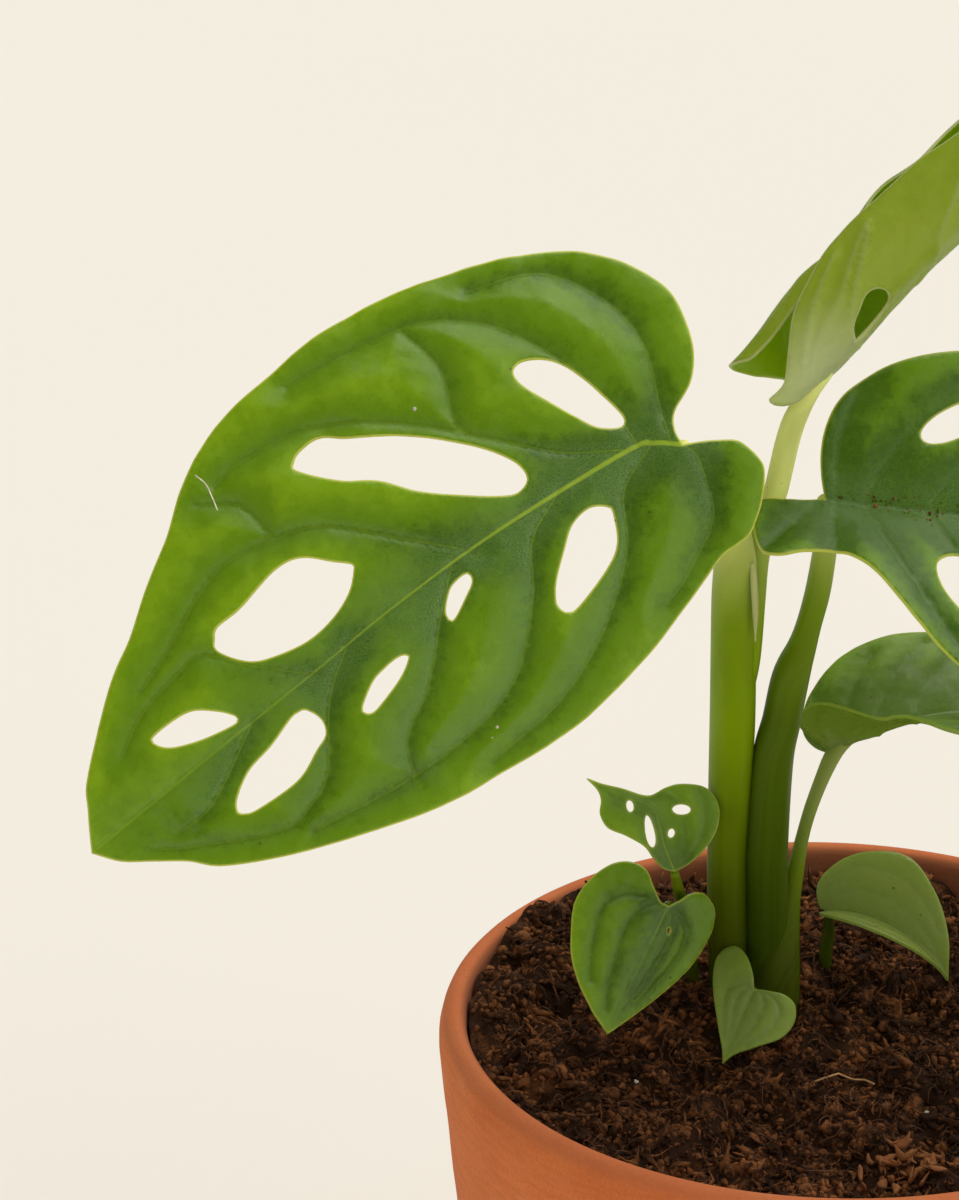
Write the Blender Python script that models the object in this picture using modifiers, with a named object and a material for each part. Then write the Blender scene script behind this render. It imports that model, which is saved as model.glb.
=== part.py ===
"""Monstera adansonii growing in a plain terracotta pot.

Metres, +Z up. The origin is the centre of the pot's base, and the big leaf points to -X.
Leaf outlines and holes are fractions of the blade's length: u runs from the stalk to the tip,
v to the left of the midrib, seen from above.
"""
import bpy
import bmesh
from math import cos, hypot, pi, radians, sin, sqrt
from mathutils import Vector
from mathutils.geometry import delaunay_2d_cdt

# Pot
POT_HEIGHT = 0.120
RIM_RADIUS = 0.065
BASE_RADIUS = 0.0535
WIDEST_BELOW_RIM = 0.006
WALL = 0.0048
FLOOR = 0.009
FOOT_ROUNDING = 0.002
TURN_STEPS = 56
DRAIN_HOLES = 3
DRAIN_RADIUS = 0.0045
DRAIN_CIRCLE = 0.032

# Soil
GAP = 0.0003
SOIL_LEVEL = 0.1145
SOIL_RINGS = 9
SOIL_RELIEF = 0.0011
HOLE_GAP = 0.0004
ROOTED_DEPTH = 0.102

# Leaves
BLADE = 0.0008
EDGE_STEP = 0.0036
GRID_STEP = 0.0072
SMALL_EDGE_STEP = 0.0022
SMALL_GRID_STEP = 0.0042
ROLLED_GRID_STEP = 0.0042
HOLE_STEP_SHARE = 0.75

# Stalks
TUBE_ROUNDNESS = 3
TUBE_STEP = 0.0050

TERRACOTTA = ("terracotta", (0.435, 0.133, 0.048), 0.85)
SOIL = ("potting soil", (0.030, 0.014, 0.008), 0.95)
LEAF = ("leaf green", (0.070, 0.170, 0.012), 0.42)
YOUNG_LEAF = ("young leaf green", (0.190, 0.270, 0.060), 0.45)
STALK = ("stalk green", (0.110, 0.170, 0.012), 0.45)

# Each rise row is (u, angle from the blade's plane at the midrib, further turn over one length),
# in degrees. A hole is (u, v, length, width, angle, taper, bend, squareness), or a drawn outline.
LEAVES = {
    "leaf_left": dict(
        base=(-0.0270, -0.0204, 0.2290), heading=-153.7, pitch=-22.8, roll=-44, length=0.111,
        droop=22, material=LEAF,
        left_rise=[(0, -6, -75), (1, -6, -40)],
        right_rise=[(0, 8, -65), (1, 6, -40)],
        midrib=[(0, 0), (0.03, -0.024), (0.07, -0.036), (0.3, -0.040), (0.45, -0.034),
                (0.6, -0.022), (0.8, -0.010), (1, 0)],
        left_edge=[(0, 0), (-0.024, 0.009), (-0.049, 0.021), (-0.065, 0.031), (-0.074, 0.042),
                   (-0.081, 0.068), (-0.079, 0.090), (-0.056, 0.121), (-0.036, 0.139),
                   (-0.012, 0.155), (0.010, 0.158), (0.035, 0.160), (0.079, 0.178), (0.180, 0.214),
                   (0.305, 0.242), (0.380, 0.247), (0.454, 0.243), (0.533, 0.236), (0.618, 0.218),
                   (0.756, 0.173), (0.855, 0.126), (0.895, 0.090), (0.935, 0.061), (0.972, 0.034),
                   (1, 0)],
        right_edge=[(0, 0), (-0.004, -0.024), (-0.020, -0.046), (-0.063, -0.070),
                    (-0.095, -0.113), (-0.113, -0.180), (-0.105, -0.230), (-0.078, -0.285),
                    (-0.025, -0.338), (0.079, -0.385), (0.200, -0.416), (0.310, -0.427),
                    (0.421, -0.414), (0.531, -0.390), (0.609, -0.347), (0.664, -0.299),
                    (0.727, -0.255), (0.782, -0.212), (0.847, -0.170), (0.939, -0.090),
                    (0.969, -0.048), (1, 0)],
        drawn_holes=[
            [(0.137, -0.216), (0.119, -0.223), (0.092, -0.212), (0.073, -0.190), (0.058, -0.148),
             (0.048, -0.104), (0.045, -0.076), (0.058, -0.069), (0.084, -0.085), (0.103, -0.116),
             (0.124, -0.157), (0.138, -0.193)],
            [(0.459, -0.283), (0.441, -0.293), (0.409, -0.294), (0.378, -0.268), (0.310, -0.224),
             (0.246, -0.162), (0.211, -0.113), (0.206, -0.080), (0.226, -0.069), (0.248, -0.076),
             (0.287, -0.102), (0.339, -0.145), (0.378, -0.190), (0.420, -0.219), (0.462, -0.268)],
            [(0.687, -0.140), (0.675, -0.150), (0.634, -0.153), (0.564, -0.169), (0.527, -0.162),
             (0.494, -0.132), (0.475, -0.115), (0.476, -0.107), (0.500, -0.084), (0.539, -0.068),
             (0.588, -0.062), (0.646, -0.075), (0.674, -0.094), (0.694, -0.125)],
            [(0.839, -0.072), (0.829, -0.079), (0.776, -0.077), (0.744, -0.056), (0.727, -0.037),
             (0.726, -0.029), (0.737, -0.027), (0.783, -0.036), (0.823, -0.052)],
            [(0.641, 0.015), (0.631, 0.037), (0.637, 0.058), (0.660, 0.069), (0.705, 0.088),
             (0.773, 0.088), (0.794, 0.081), (0.798, 0.073), (0.787, 0.058), (0.753, 0.038),
             (0.709, 0.028), (0.665, 0.013), (0.652, 0.012)],
            [(0.485, 0.032), (0.484, 0.038), (0.509, 0.054), (0.553, 0.069), (0.568, 0.071),
             (0.575, 0.066), (0.573, 0.057), (0.542, 0.037), (0.518, 0.031), (0.497, 0.029)],
            [(0.350, -0.014), (0.351, -0.001), (0.372, 0.013), (0.399, 0.028), (0.406, 0.026),
             (0.403, 0.012), (0.383, -0.008), (0.368, -0.014)],
            [(0.252, 0.063), (0.220, 0.034), (0.191, 0.011), (0.158, 0.004), (0.135, 0.016),
             (0.134, 0.029), (0.154, 0.068), (0.189, 0.090), (0.248, 0.110), (0.265, 0.107),
             (0.270, 0.097), (0.268, 0.086)]]),
    "leaf_right": dict(
        base=(-0.0037, -0.0062, 0.2140), heading=-4, pitch=-2, roll=0, length=0.110,
        droop=24, material=LEAF,
        left_rise=[(-0.1, 62, -60), (0.1, 52, -40), (0.5, 40, -60)],
        right_rise=[(-0.1, -12, -10), (0.06, -14, -30), (0.22, -20, -80), (0.6, -16, -90)],
        midrib=[(0, 0), (1, 0)],
        left_edge=[(0, 0), (-0.007, 0.035), (-0.009, 0.073), (-0.004, 0.111), (0.010, 0.148),
                   (0.035, 0.180), (0.085, 0.220), (0.170, 0.253), (0.280, 0.275),
                   (0.420, 0.272), (0.570, 0.235), (0.720, 0.175), (0.850, 0.103),
                   (0.940, 0.045), (1, 0)],
        right_edge=[(0, 0), (-0.035, -0.003), (-0.075, -0.003), (-0.096, -0.012),
                    (-0.102, -0.045), (-0.097, -0.100), (-0.083, -0.128), (-0.058, -0.135),
                    (-0.030, -0.124), (0.017, -0.112), (0.050, -0.125), (0.090, -0.166),
                    (0.137, -0.214), (0.210, -0.266), (0.310, -0.305), (0.430, -0.315),
                    (0.560, -0.285), (0.700, -0.225), (0.840, -0.138), (0.940, -0.060), (1, 0)],
        holes=[(0.192, 0.152, 0.155, 0.045, 38, 0.3, 0, 0),
               (0.230, -0.145, 0.155, 0.085, -45, 0.1, 0, 0.2),
               (0.370, 0.125, 0.160, 0.050, 32, 0.3, 0, 0.2),
               (0.570, 0.100, 0.130, 0.045, 25, 0.2, 0, 0),
               (0.425, -0.150, 0.190, 0.060, -38, 0.2, 0, 0.3),
               (0.620, -0.115, 0.130, 0.045, -28, 0.2, 0, 0),
               (0.755, 0.050, 0.080, 0.030, 20, 0.2, 0, 0)]),
    "leaf_young": dict(
        base=(-0.0060, 0.0006, 0.2305), heading=25.5, pitch=44.9, roll=-34, length=0.098,
        droop=22, material=YOUNG_LEAF,
        left_rise=[(0, 10, 920), (0.11, 10, 890), (0.18, 10, 920), (0.30, 10, 820),
                   (0.37, 10, 880), (0.44, 10, 810), (0.52, 10, 820), (0.75, 10, 930)],
        right_rise=[(0, -14, 800), (1, -8, 860)],
        midrib=[(0, 0), (1, 0)],
        left_edge=[(0, 0), (-0.010, 0.055), (-0.026, 0.084), (-0.043, 0.113), (-0.056, 0.162),
                   (-0.044, 0.214), (0.000, 0.240), (0.200, 0.240), (0.300, 0.210), (0.400, 0.180),
                   (0.600, 0.170), (0.800, 0.130), (0.930, 0.050), (1, 0)],
        right_edge=[(0, 0), (-0.015, -0.036), (-0.033, -0.049), (-0.054, -0.070),
                    (-0.065, -0.089), (-0.063, -0.100), (-0.048, -0.098), (-0.030, -0.098),
                    (-0.012, -0.109), (0.015, -0.128), (0.065, -0.160), (0.113, -0.176),
                    (0.193, -0.197), (0.258, -0.196), (0.370, -0.193), (0.441, -0.178),
                    (0.600, -0.165), (0.700, -0.145), (0.860, -0.085), (0.950, -0.035), (1, 0)],
        drawn_holes=[
            [(0.103, -0.048), (0.112, -0.072), (0.138, -0.085), (0.159, -0.093), (0.175, -0.090),
             (0.186, -0.078), (0.189, -0.055), (0.178, -0.030), (0.155, -0.016), (0.125, -0.014),
             (0.105, -0.026)]]),
    "leaf_middle": dict(
        base=(0.0006, 0.0196, 0.1576), heading=14, pitch=29, roll=0, length=0.056,
        droop=75, material=LEAF,
        left_rise=[(0, 40, -40)],
        right_rise=[(-0.1, 110, -300), (0, 105, -250), (0.16, 42, -60), (0.35, 22, -70)],
        midrib=[(0, 0), (1, 0)],
        left_edge=[(0, 0), (-0.030, 0.050), (-0.030, 0.110), (0.020, 0.185), (0.100, 0.245),
                   (0.180, 0.280), (0.290, 0.295), (0.440, 0.275), (0.600, 0.225),
                   (0.770, 0.140), (0.920, 0.050), (1, 0)],
        right_edge=[(0, 0), (-0.012, -0.050), (-0.030, -0.110), (-0.030, -0.170),
                    (0.000, -0.220), (0.070, -0.260), (0.190, -0.285), (0.330, -0.285),
                    (0.480, -0.260), (0.630, -0.205), (0.790, -0.125), (0.920, -0.045), (1, 0)]),
    "leaf_low": dict(
        base=(0.0015, 0.0260, 0.1247), heading=-34.5, pitch=22, roll=15, length=0.0262,
        droop=90, material=LEAF,
        left_rise=[(0, 52, -70)],
        right_rise=[(0, 34, -30)],
        midrib=[(0, 0), (1, 0)],
        left_edge=[(0, 0), (-0.060, 0.050), (-0.060, 0.200), (0.060, 0.340), (0.220, 0.430),
                   (0.390, 0.460), (0.560, 0.350), (0.750, 0.190), (0.900, 0.060), (1, 0)],
        right_edge=[(0, 0), (-0.010, -0.050), (0.020, -0.130), (0.100, -0.220),
                    (0.230, -0.280), (0.390, -0.290), (0.560, -0.240), (0.750, -0.140),
                    (0.900, -0.045), (1, 0)]),
    "leaf_foot": dict(
        base=(-0.0124, 0.0014, 0.1228), heading=-115.6, pitch=-28, roll=-14, length=0.0147,
        droop=10, material=LEAF,
        left_rise=[(0, 10, -60)],
        right_rise=[(0, 10, -60)],
        midrib=[(0, 0), (1, 0)],
        left_edge=[(0, 0), (-0.030, 0.160), (-0.060, 0.360), (0.000, 0.500), (0.200, 0.570),
                   (0.450, 0.500), (0.680, 0.280), (0.860, 0.080), (1, 0)],
        right_edge=[(0, 0), (-0.200, -0.100), (-0.380, -0.240), (-0.470, -0.400),
                    (-0.360, -0.530), (-0.150, -0.540), (0.200, -0.420), (0.580, -0.220),
                    (0.840, -0.070), (1, 0)]),
    "leaf_heart": dict(
        base=(-0.0271, -0.0021, 0.1402), heading=-124, pitch=-41, roll=-33, length=0.0240,
        droop=0, material=LEAF,
        left_rise=[(0, -24, -20)],
        right_rise=[(0, 6, -25)],
        midrib=[(0, 0), (1, 0)],
        left_edge=[(0, 0), (-0.070, 0.050), (-0.160, 0.110), (-0.215, 0.200), (-0.190, 0.310),
                   (-0.110, 0.375), (0.020, 0.400), (0.280, 0.360), (0.560, 0.240),
                   (0.770, 0.130), (0.930, 0.040), (1, 0)],
        right_edge=[(0, 0), (-0.005, -0.065), (-0.070, -0.150), (-0.150, -0.240),
                    (-0.160, -0.350), (-0.090, -0.470), (0.080, -0.565), (0.280, -0.590),
                    (0.490, -0.520), (0.640, -0.445), (0.780, -0.325), (0.920, -0.150), (1, 0)],
        holes=[(0.150, 0.080, 0.045, 0.032, 30, 0, 0, 0)]),
    "leaf_curled": dict(
        base=(-0.0261, -0.0008, 0.1458), heading=157, pitch=42, roll=-58, length=0.0211,
        droop=0, material=LEAF,
        left_rise=[(0, 18, -50)],
        right_rise=[(0, 14, -60)],
        midrib=[(0, 0), (0.20, -0.080), (0.33, -0.155), (0.45, -0.210), (0.56, -0.190),
                (0.75, -0.080), (1, 0)],
        left_edge=[(0, 0), (0.080, 0.050), (0.200, 0.050), (0.310, 0.040), (0.470, 0.090),
                   (0.610, 0.150), (0.730, 0.120), (0.800, 0.040), (0.880, 0.000), (1, 0)],
        right_edge=[(0, 0), (-0.030, -0.130), (-0.030, -0.300), (0.010, -0.450),
                    (0.100, -0.580), (0.220, -0.635), (0.340, -0.620), (0.470, -0.510),
                    (0.530, -0.400), (0.560, -0.280), (0.620, -0.220), (0.750, -0.150),
                    (0.890, -0.055), (1, 0)],
        holes=[(0.615, -0.098, 0.100, 0.060, -40, 0, 0, 0),
               (0.320, -0.375, 0.145, 0.080, 45, 0, 0, 0),
               (0.365, -0.075, 0.260, 0.080, -33, 0.2, 0, 0),
               (0.240, -0.190, 0.075, 0.055, -60, 0, 0, 0)]),
}

# A stalk is a list of (x, y, z, radius) from its foot in the soil to its leaf.
LEFT_STALK = [
    (-0.0157, 0.0153, 0.1020, 0.0035), (-0.0157, 0.0153, 0.1150, 0.0035),
    (-0.0158, 0.0147, 0.1205, 0.0035), (-0.0164, 0.0124, 0.1339, 0.0035),
    (-0.0167, 0.0105, 0.1442, 0.0035), (-0.0168, 0.0065, 0.1627, 0.0037),
    (-0.0169, 0.0036, 0.1749, 0.0038), (-0.0174, -0.0014, 0.1948, 0.0037),
    (-0.0176, -0.0045, 0.2040, 0.0034), (-0.0193, -0.0095, 0.2125, 0.0026),
    (-0.0236, -0.0150, 0.2208, 0.0021), (-0.0270, -0.0190, 0.2276, 0.0014)]
YOUNG_STALK = [
    (-0.0158, 0.0036, 0.1749, 0.0018), (-0.0148, 0.0012, 0.1831, 0.0020),
    (-0.0143, -0.0005, 0.1944, 0.0020), (-0.0138, -0.0007, 0.2015, 0.0019),
    (-0.0127, -0.0009, 0.2085, 0.0019), (-0.0111, -0.0009, 0.2136, 0.0019),
    (-0.0094, 0.0003, 0.2214, 0.0019), (-0.0080, 0.0003, 0.2260, 0.0018),
    (-0.0064, 0.0003, 0.2290, 0.0014)]
RIGHT_STALK = [
    (-0.0096, 0.0137, 0.1020, 0.0034), (-0.0096, 0.0137, 0.1150, 0.0034),
    (-0.0097, 0.0133, 0.1205, 0.0034), (-0.0100, 0.0108, 0.1348, 0.0035),
    (-0.0104, 0.0087, 0.1451, 0.0035), (-0.0100, 0.0056, 0.1631, 0.0034),
    (-0.0088, 0.0046, 0.1709, 0.0032), (-0.0076, 0.0029, 0.1795, 0.0031),
    (-0.0060, 0.0024, 0.1850, 0.0024), (-0.0050, 0.0022, 0.1890, 0.0021),
    (-0.0037, 0.0020, 0.1951, 0.0021), (-0.0029, 0.0009, 0.2027, 0.0020),
    (-0.0028, -0.0014, 0.2085, 0.0020), (-0.0037, -0.0056, 0.2131, 0.0015)]
MIDDLE_STALK = [
    (-0.0060, 0.0122, 0.1020, 0.0024), (-0.0060, 0.0122, 0.1150, 0.0024),
    (-0.0060, 0.0123, 0.1210, 0.0024), (-0.0059, 0.0127, 0.1293, 0.0024),
    (-0.0055, 0.0132, 0.1354, 0.0022), (-0.0047, 0.0139, 0.1418, 0.0020),
    (-0.0034, 0.0154, 0.1457, 0.0018), (-0.0013, 0.0174, 0.1519, 0.0017),
    (0.0012, 0.0197, 0.1558, 0.0013)]
LOW_STALK = [
    (0.0012, 0.0248, 0.1020, 0.0011), (0.0012, 0.0248, 0.1150, 0.0011),
    (0.0013, 0.0250, 0.1182, 0.0011), (0.0017, 0.0256, 0.1212, 0.0010),
    (0.0020, 0.0261, 0.1238, 0.0008)]
FOOT_STALK = [
    (-0.0122, 0.0054, 0.1020, 0.0009), (-0.0122, 0.0054, 0.1145, 0.0009),
    (-0.0122, 0.0051, 0.1172, 0.0009), (-0.0123, 0.0037, 0.1198, 0.0008),
    (-0.0124, 0.0020, 0.1220, 0.0007)]
HEART_STALK = [
    (-0.0220, 0.0145, 0.1020, 0.0013), (-0.0220, 0.0145, 0.1150, 0.0013),
    (-0.0222, 0.0140, 0.1190, 0.0012), (-0.0232, 0.0115, 0.1265, 0.0011),
    (-0.0255, 0.0055, 0.1350, 0.0010), (-0.0269, 0.0008, 0.1386, 0.0009),
    (-0.0273, -0.0008, 0.1391, 0.0007)]
CURLED_STALK = [
    (-0.0220, 0.0145, 0.1160, 0.0010), (-0.0221, 0.0138, 0.1200, 0.0010),
    (-0.0231, 0.0100, 0.1300, 0.0010), (-0.0245, 0.0058, 0.1370, 0.0010),
    (-0.0254, 0.0020, 0.1417, 0.0009), (-0.0259, 0.0002, 0.1446, 0.0008)]

SHOOTS = {
    "main_stalks": [LEFT_STALK, YOUNG_STALK, RIGHT_STALK, MIDDLE_STALK],
    "seedling_stalks": [HEART_STALK, CURLED_STALK],
    "low_stalk": [LOW_STALK],
    "foot_stalk": [FOOT_STALK],
}


def smooth_path(points, pieces, closed=False):
    """Points along a Catmull-Rom curve through the given ones, each stretch cut into pieces."""
    rows = [Vector(p) for p in points]
    if closed:
        rows = [rows[-1]] + rows + rows[:2]
    else:
        rows = [2 * rows[0] - rows[1]] + rows + [2 * rows[-1] - rows[-2]]
    path = []
    for a, b, c, d in zip(rows, rows[1:], rows[2:], rows[3:]):
        for i in range(pieces):
            t = i / pieces
            path.append(0.5 * (2 * b + (c - a) * t + (2 * a - 5 * b + 4 * c - d) * t ** 2
                               + (3 * b - a - 3 * c + d) * t ** 3))
    if not closed:
        path.append(rows[-2])
    return path


def spaced(path, step):
    """The same path with its points an even distance apart, near the step."""
    lengths = [0.0]
    for a, b in zip(path, path[1:]):
        lengths.append(lengths[-1] + (Vector(b[:3]) - Vector(a[:3])).length)
    count = max(2, round(lengths[-1] / step))
    out = []
    j = 0
    for i in range(count + 1):
        want = lengths[-1] * i / count
        while j < len(path) - 2 and lengths[j + 1] < want:
            j += 1
        share = (want - lengths[j]) / max(lengths[j + 1] - lengths[j], 1e-12)
        out.append(path[j].lerp(path[j + 1], min(share, 1.0)))
    return out


def stepped(rows, u, column):
    """A value that goes smoothly from row to row along the blade."""
    value = rows[0][column]
    for a, b in zip(rows, rows[1:]):
        t = min(max((u - a[0]) / (b[0] - a[0]), 0.0), 1.0)
        value += (b[column] - a[column]) * t * t * (3 - 2 * t)
    return value


def arc(length, start, turn):
    """End of an arc that leaves at the start angle and turns steadily, in radians per metre."""
    if abs(turn) < 1e-6:
        return length * cos(start), length * sin(start)
    end = start + turn * length
    return (sin(end) - sin(start)) / turn, (cos(start) - cos(end)) / turn


def blade_frame(leaf):
    """Unit vectors along the blade, to its left and out of its upper face."""
    heading, pitch, roll = (radians(leaf[k]) for k in ("heading", "pitch", "roll"))
    along = Vector((cos(pitch) * cos(heading), cos(pitch) * sin(heading), sin(pitch)))
    up = Vector((-sin(pitch) * cos(heading), -sin(pitch) * sin(heading), cos(pitch)))
    left = up.cross(along)
    return along, left * cos(roll) + up * sin(roll), up * cos(roll) - left * sin(roll)


def midrib_offset(rib, u):
    """Sideways offset of the midrib, read from its smooth curve."""
    for a, b in zip(rib, rib[1:]):
        if u <= b.x:
            return a.y + (b.y - a.y) * min(max((u - a.x) / (b.x - a.x), 0.0), 1.0)
    return rib[-1].y


def blade_point(leaf, axes, rib, u, v):
    """The point of the bent blade at (u, v)."""
    along, left, up = axes
    size = leaf["length"]
    bend = -radians(leaf["droop"]) / size
    x, y = arc(u * size, 0.0, bend)
    angle = bend * u * size
    normal = up * cos(angle) - along * sin(angle)
    offset = midrib_offset(rib, u)
    reach = (v - offset) * size
    rise = leaf["left_rise"] if reach >= 0 else leaf["right_rise"]
    start = radians(stepped(rise, u, 1))
    turn = radians(stepped(rise, u, 2)) / size
    across, height = arc(abs(reach), start, turn)
    if reach < 0:
        across = -across
    return (Vector(leaf["base"]) + along * x + up * y
            + left * (offset * size + across) + normal * height)


def hole_outline(size, hole, step):
    """An egg-shaped outline, wider at one end, slightly bent, closed."""
    u, v, length, width, angle, taper, bend, squareness = hole
    count = max(8, round(pi * (length + width) / 2 * size / step))
    power = 2 / (2 + squareness)
    turn = radians(angle)
    loop = []
    for i in range(count):
        c, s = cos(2 * pi * i / count), sin(2 * pi * i / count)
        x = length / 2 * abs(c) ** power * (1 if c >= 0 else -1)
        y = width / 2 * abs(s) ** power * (1 if s >= 0 else -1) * (1 - taper * c)
        y += bend * width * ((2 * x / length) ** 2 - 0.5)
        loop.append(Vector((u + x * cos(turn) - y * sin(turn), v + x * sin(turn) + y * cos(turn))))
    return loop


def hole_outlines(leaf, step):
    """The closed outlines of a blade's holes, the drawn ones first."""
    size = leaf["length"]
    loops = []
    for points in leaf.get("drawn_holes", []):
        path = smooth_path(points, 8, closed=True)
        loops.append(spaced(path + path[:1], step / size)[:-1])
    return loops + [hole_outline(size, hole, step) for hole in leaf.get("holes", [])]


def blade_outline(leaf, step):
    """The closed edge: from the stalk round the left side to the tip and back on the right."""
    sides = []
    for edge in (leaf["left_edge"], leaf["right_edge"]):
        sides.append(spaced(smooth_path(edge, 12), step / leaf["length"]))
    return sides[0] + sides[1][-2:0:-1]


def inside(point, loop):
    """Whether the point lies inside the closed loop."""
    hit = False
    for a, b in zip(loop, loop[1:] + loop[:1]):
        if (a.y > point.y) != (b.y > point.y):
            if point.x < (b.x - a.x) * (point.y - a.y) / (b.y - a.y) + a.x:
                hit = not hit
    return hit


def filling(loops, lines, step):
    """Points of a triangular grid inside the first loop, clear of every edge and line."""
    outer = loops[0]
    fixed = [p for row in loops + lines for p in row]
    low_u, high_u = min(p.x for p in outer), max(p.x for p in outer)
    low_v, high_v = min(p.y for p in outer), max(p.y for p in outer)
    rise = step * sqrt(3) / 2
    points = []
    for j in range(int((high_v - low_v) / rise) + 1):
        for i in range(int((high_u - low_u) / step) + 1):
            p = Vector((low_u + (i + 0.5 * (j % 2)) * step, low_v + (j + 0.5) * rise))
            near = min((p - q).length for q in fixed)
            if near > 0.55 * step and inside(p, outer):
                if not any(inside(p, hole) for hole in loops[1:]):
                    points.append(p)
    return points


def flat_sheet(leaf, edge_step, grid_step):
    """The blade's flat shape in triangles: its edge, holes, midrib and a filling between."""
    size = leaf["length"]
    outline = blade_outline(leaf, edge_step)
    holes = hole_outlines(leaf, edge_step * HOLE_STEP_SHARE)
    rib = spaced(smooth_path(leaf["midrib"], 12), grid_step / size)[1:-1]
    extra = filling([outline] + holes, [rib], grid_step / size)
    points = list(outline)
    edges = [(i, (i + 1) % len(outline)) for i in range(len(outline))]
    for loop in holes:
        start = len(points)
        points += loop
        edges += [(start + i, start + (i + 1) % len(loop)) for i in range(len(loop))]
    start = len(points)
    tip = min(range(len(outline)), key=lambda i: (outline[i] - Vector((1, 0))).length)
    points += rib
    edges += [(0, start), (start + len(rib) - 1, tip)]
    edges += [(start + i, start + i + 1) for i in range(len(rib) - 1)]
    points += extra
    flat, _, faces, _, _, _ = delaunay_2d_cdt(points, edges, [], 1, 1e-6)
    kept = []
    for face in faces:
        middle = sum((flat[i] for i in face), Vector((0, 0))) / 3
        if inside(middle, outline) and not any(inside(middle, loop) for loop in holes):
            kept.append(face)
    return flat, kept


def material(kind):
    """The part's plain material, made once."""
    name, color, roughness = kind
    if name in bpy.data.materials:
        return bpy.data.materials[name]
    made = bpy.data.materials.new(name)
    made.use_nodes = True
    shader = made.node_tree.nodes["Principled BSDF"]
    shader.inputs["Base Color"].default_value = (*color, 1)
    shader.inputs["Roughness"].default_value = roughness
    shader.inputs["Metallic"].default_value = 0
    made.diffuse_color = (*color, 1)
    return made


def add_object(name, data, kind, collection):
    """A new object with its material, in the collection."""
    obj = bpy.data.objects.new(name, data)
    collection.objects.link(obj)
    data.materials.append(material(kind))
    return obj


def add_boolean(obj, operation, other):
    """An exact Boolean with an object or a collection."""
    cut = obj.modifiers.new(operation.lower(), "BOOLEAN")
    cut.operation = operation
    cut.solver = "EXACT"
    if isinstance(other, bpy.types.Collection):
        cut.operand_type = "COLLECTION"
        cut.collection = other
    else:
        cut.object = other


def as_cutter(obj):
    """Marks an object as a tool that isn't part of the plant."""
    obj.hide_render = True
    obj.display_type = "WIRE"


def turned(name, profile, kind, collection):
    """A profile of (radius, height) rows turned round Z, from the axis and back to it."""
    mesh = bpy.data.meshes.new(name)
    mesh.from_pydata([(r, 0, z) for r, z in profile], [(i, i + 1) for i in range(len(profile) - 1)], [])
    obj = add_object(name, mesh, kind, collection)
    screw = obj.modifiers.new("turn", "SCREW")
    screw.axis = "Z"
    screw.steps = screw.render_steps = TURN_STEPS
    screw.use_merge_vertices = True
    screw.merge_threshold = 0.00005
    screw.use_smooth_shade = True
    return obj


def baked(obj):
    """Replaces an object's curve or modifiers with the mesh that they give."""
    graph = bpy.context.evaluated_depsgraph_get()
    graph.update()
    mesh = bpy.data.meshes.new_from_object(obj.evaluated_get(graph))
    bm = bmesh.new()
    bm.from_mesh(mesh)
    bmesh.ops.remove_doubles(bm, verts=bm.verts, dist=0.00002)
    bm.to_mesh(mesh)
    bm.free()
    solid = bpy.data.objects.new(obj.name + "_solid", mesh)
    solid.matrix_world = obj.matrix_world
    home = obj.users_collection[0]
    home.objects.link(solid)
    name = obj.name
    bpy.data.objects.remove(obj)
    solid.name = name
    return solid


def wall_radius(height):
    """Outer radius of the pot's straight wall at a height."""
    widest = POT_HEIGHT - WIDEST_BELOW_RIM
    return BASE_RADIUS + (RIM_RADIUS - BASE_RADIUS) * min(height / widest, 1.0)


def make_pot(collection, tools):
    """A tapering wall with a rounded lip, a floor and drain holes round its middle."""
    widest = POT_HEIGHT - WIDEST_BELOW_RIM
    inner = wall_radius(widest) - WALL
    middle = (RIM_RADIUS + inner) / 2
    profile = [
        (0, FLOOR), (0.02, FLOOR), (0.042, FLOOR), (wall_radius(FLOOR) - WALL, FLOOR),
        (wall_radius(0.045) - WALL, 0.045), (wall_radius(0.080) - WALL, 0.080),
        (inner, widest), (inner + 0.0003, POT_HEIGHT - 0.0016), (inner + 0.0012, POT_HEIGHT - 0.0003),
        (middle - 0.0006, POT_HEIGHT), (middle + 0.0008, POT_HEIGHT - 0.0003),
        (RIM_RADIUS - 0.0006, POT_HEIGHT - 0.0020), (RIM_RADIUS - 0.0001, POT_HEIGHT - 0.0040),
        (RIM_RADIUS, widest), (wall_radius(0.080), 0.080), (wall_radius(0.040), 0.040),
        (wall_radius(FOOT_ROUNDING), FOOT_ROUNDING), (BASE_RADIUS - 0.0006, 0.0005),
        (BASE_RADIUS - FOOT_ROUNDING, 0), (0.042, 0), (0.02, 0), (0, 0)]
    pot = turned("pot", profile, TERRACOTTA, collection)
    for i in range(DRAIN_HOLES):
        angle = 2 * pi * (i + 0.25) / DRAIN_HOLES
        bm = bmesh.new()
        bmesh.ops.create_cone(bm, cap_ends=True, segments=12, radius1=DRAIN_RADIUS,
                              radius2=DRAIN_RADIUS, depth=4 * FLOOR)
        mesh = bpy.data.meshes.new(f"drain_{i}")
        bm.to_mesh(mesh)
        bm.free()
        cutter = bpy.data.objects.new(f"drain_{i}", mesh)
        cutter.location = (DRAIN_CIRCLE * cos(angle), DRAIN_CIRCLE * sin(angle), FLOOR / 2)
        tools.objects.link(cutter)
        as_cutter(cutter)
        add_boolean(pot, "DIFFERENCE", cutter)
    return pot


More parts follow.
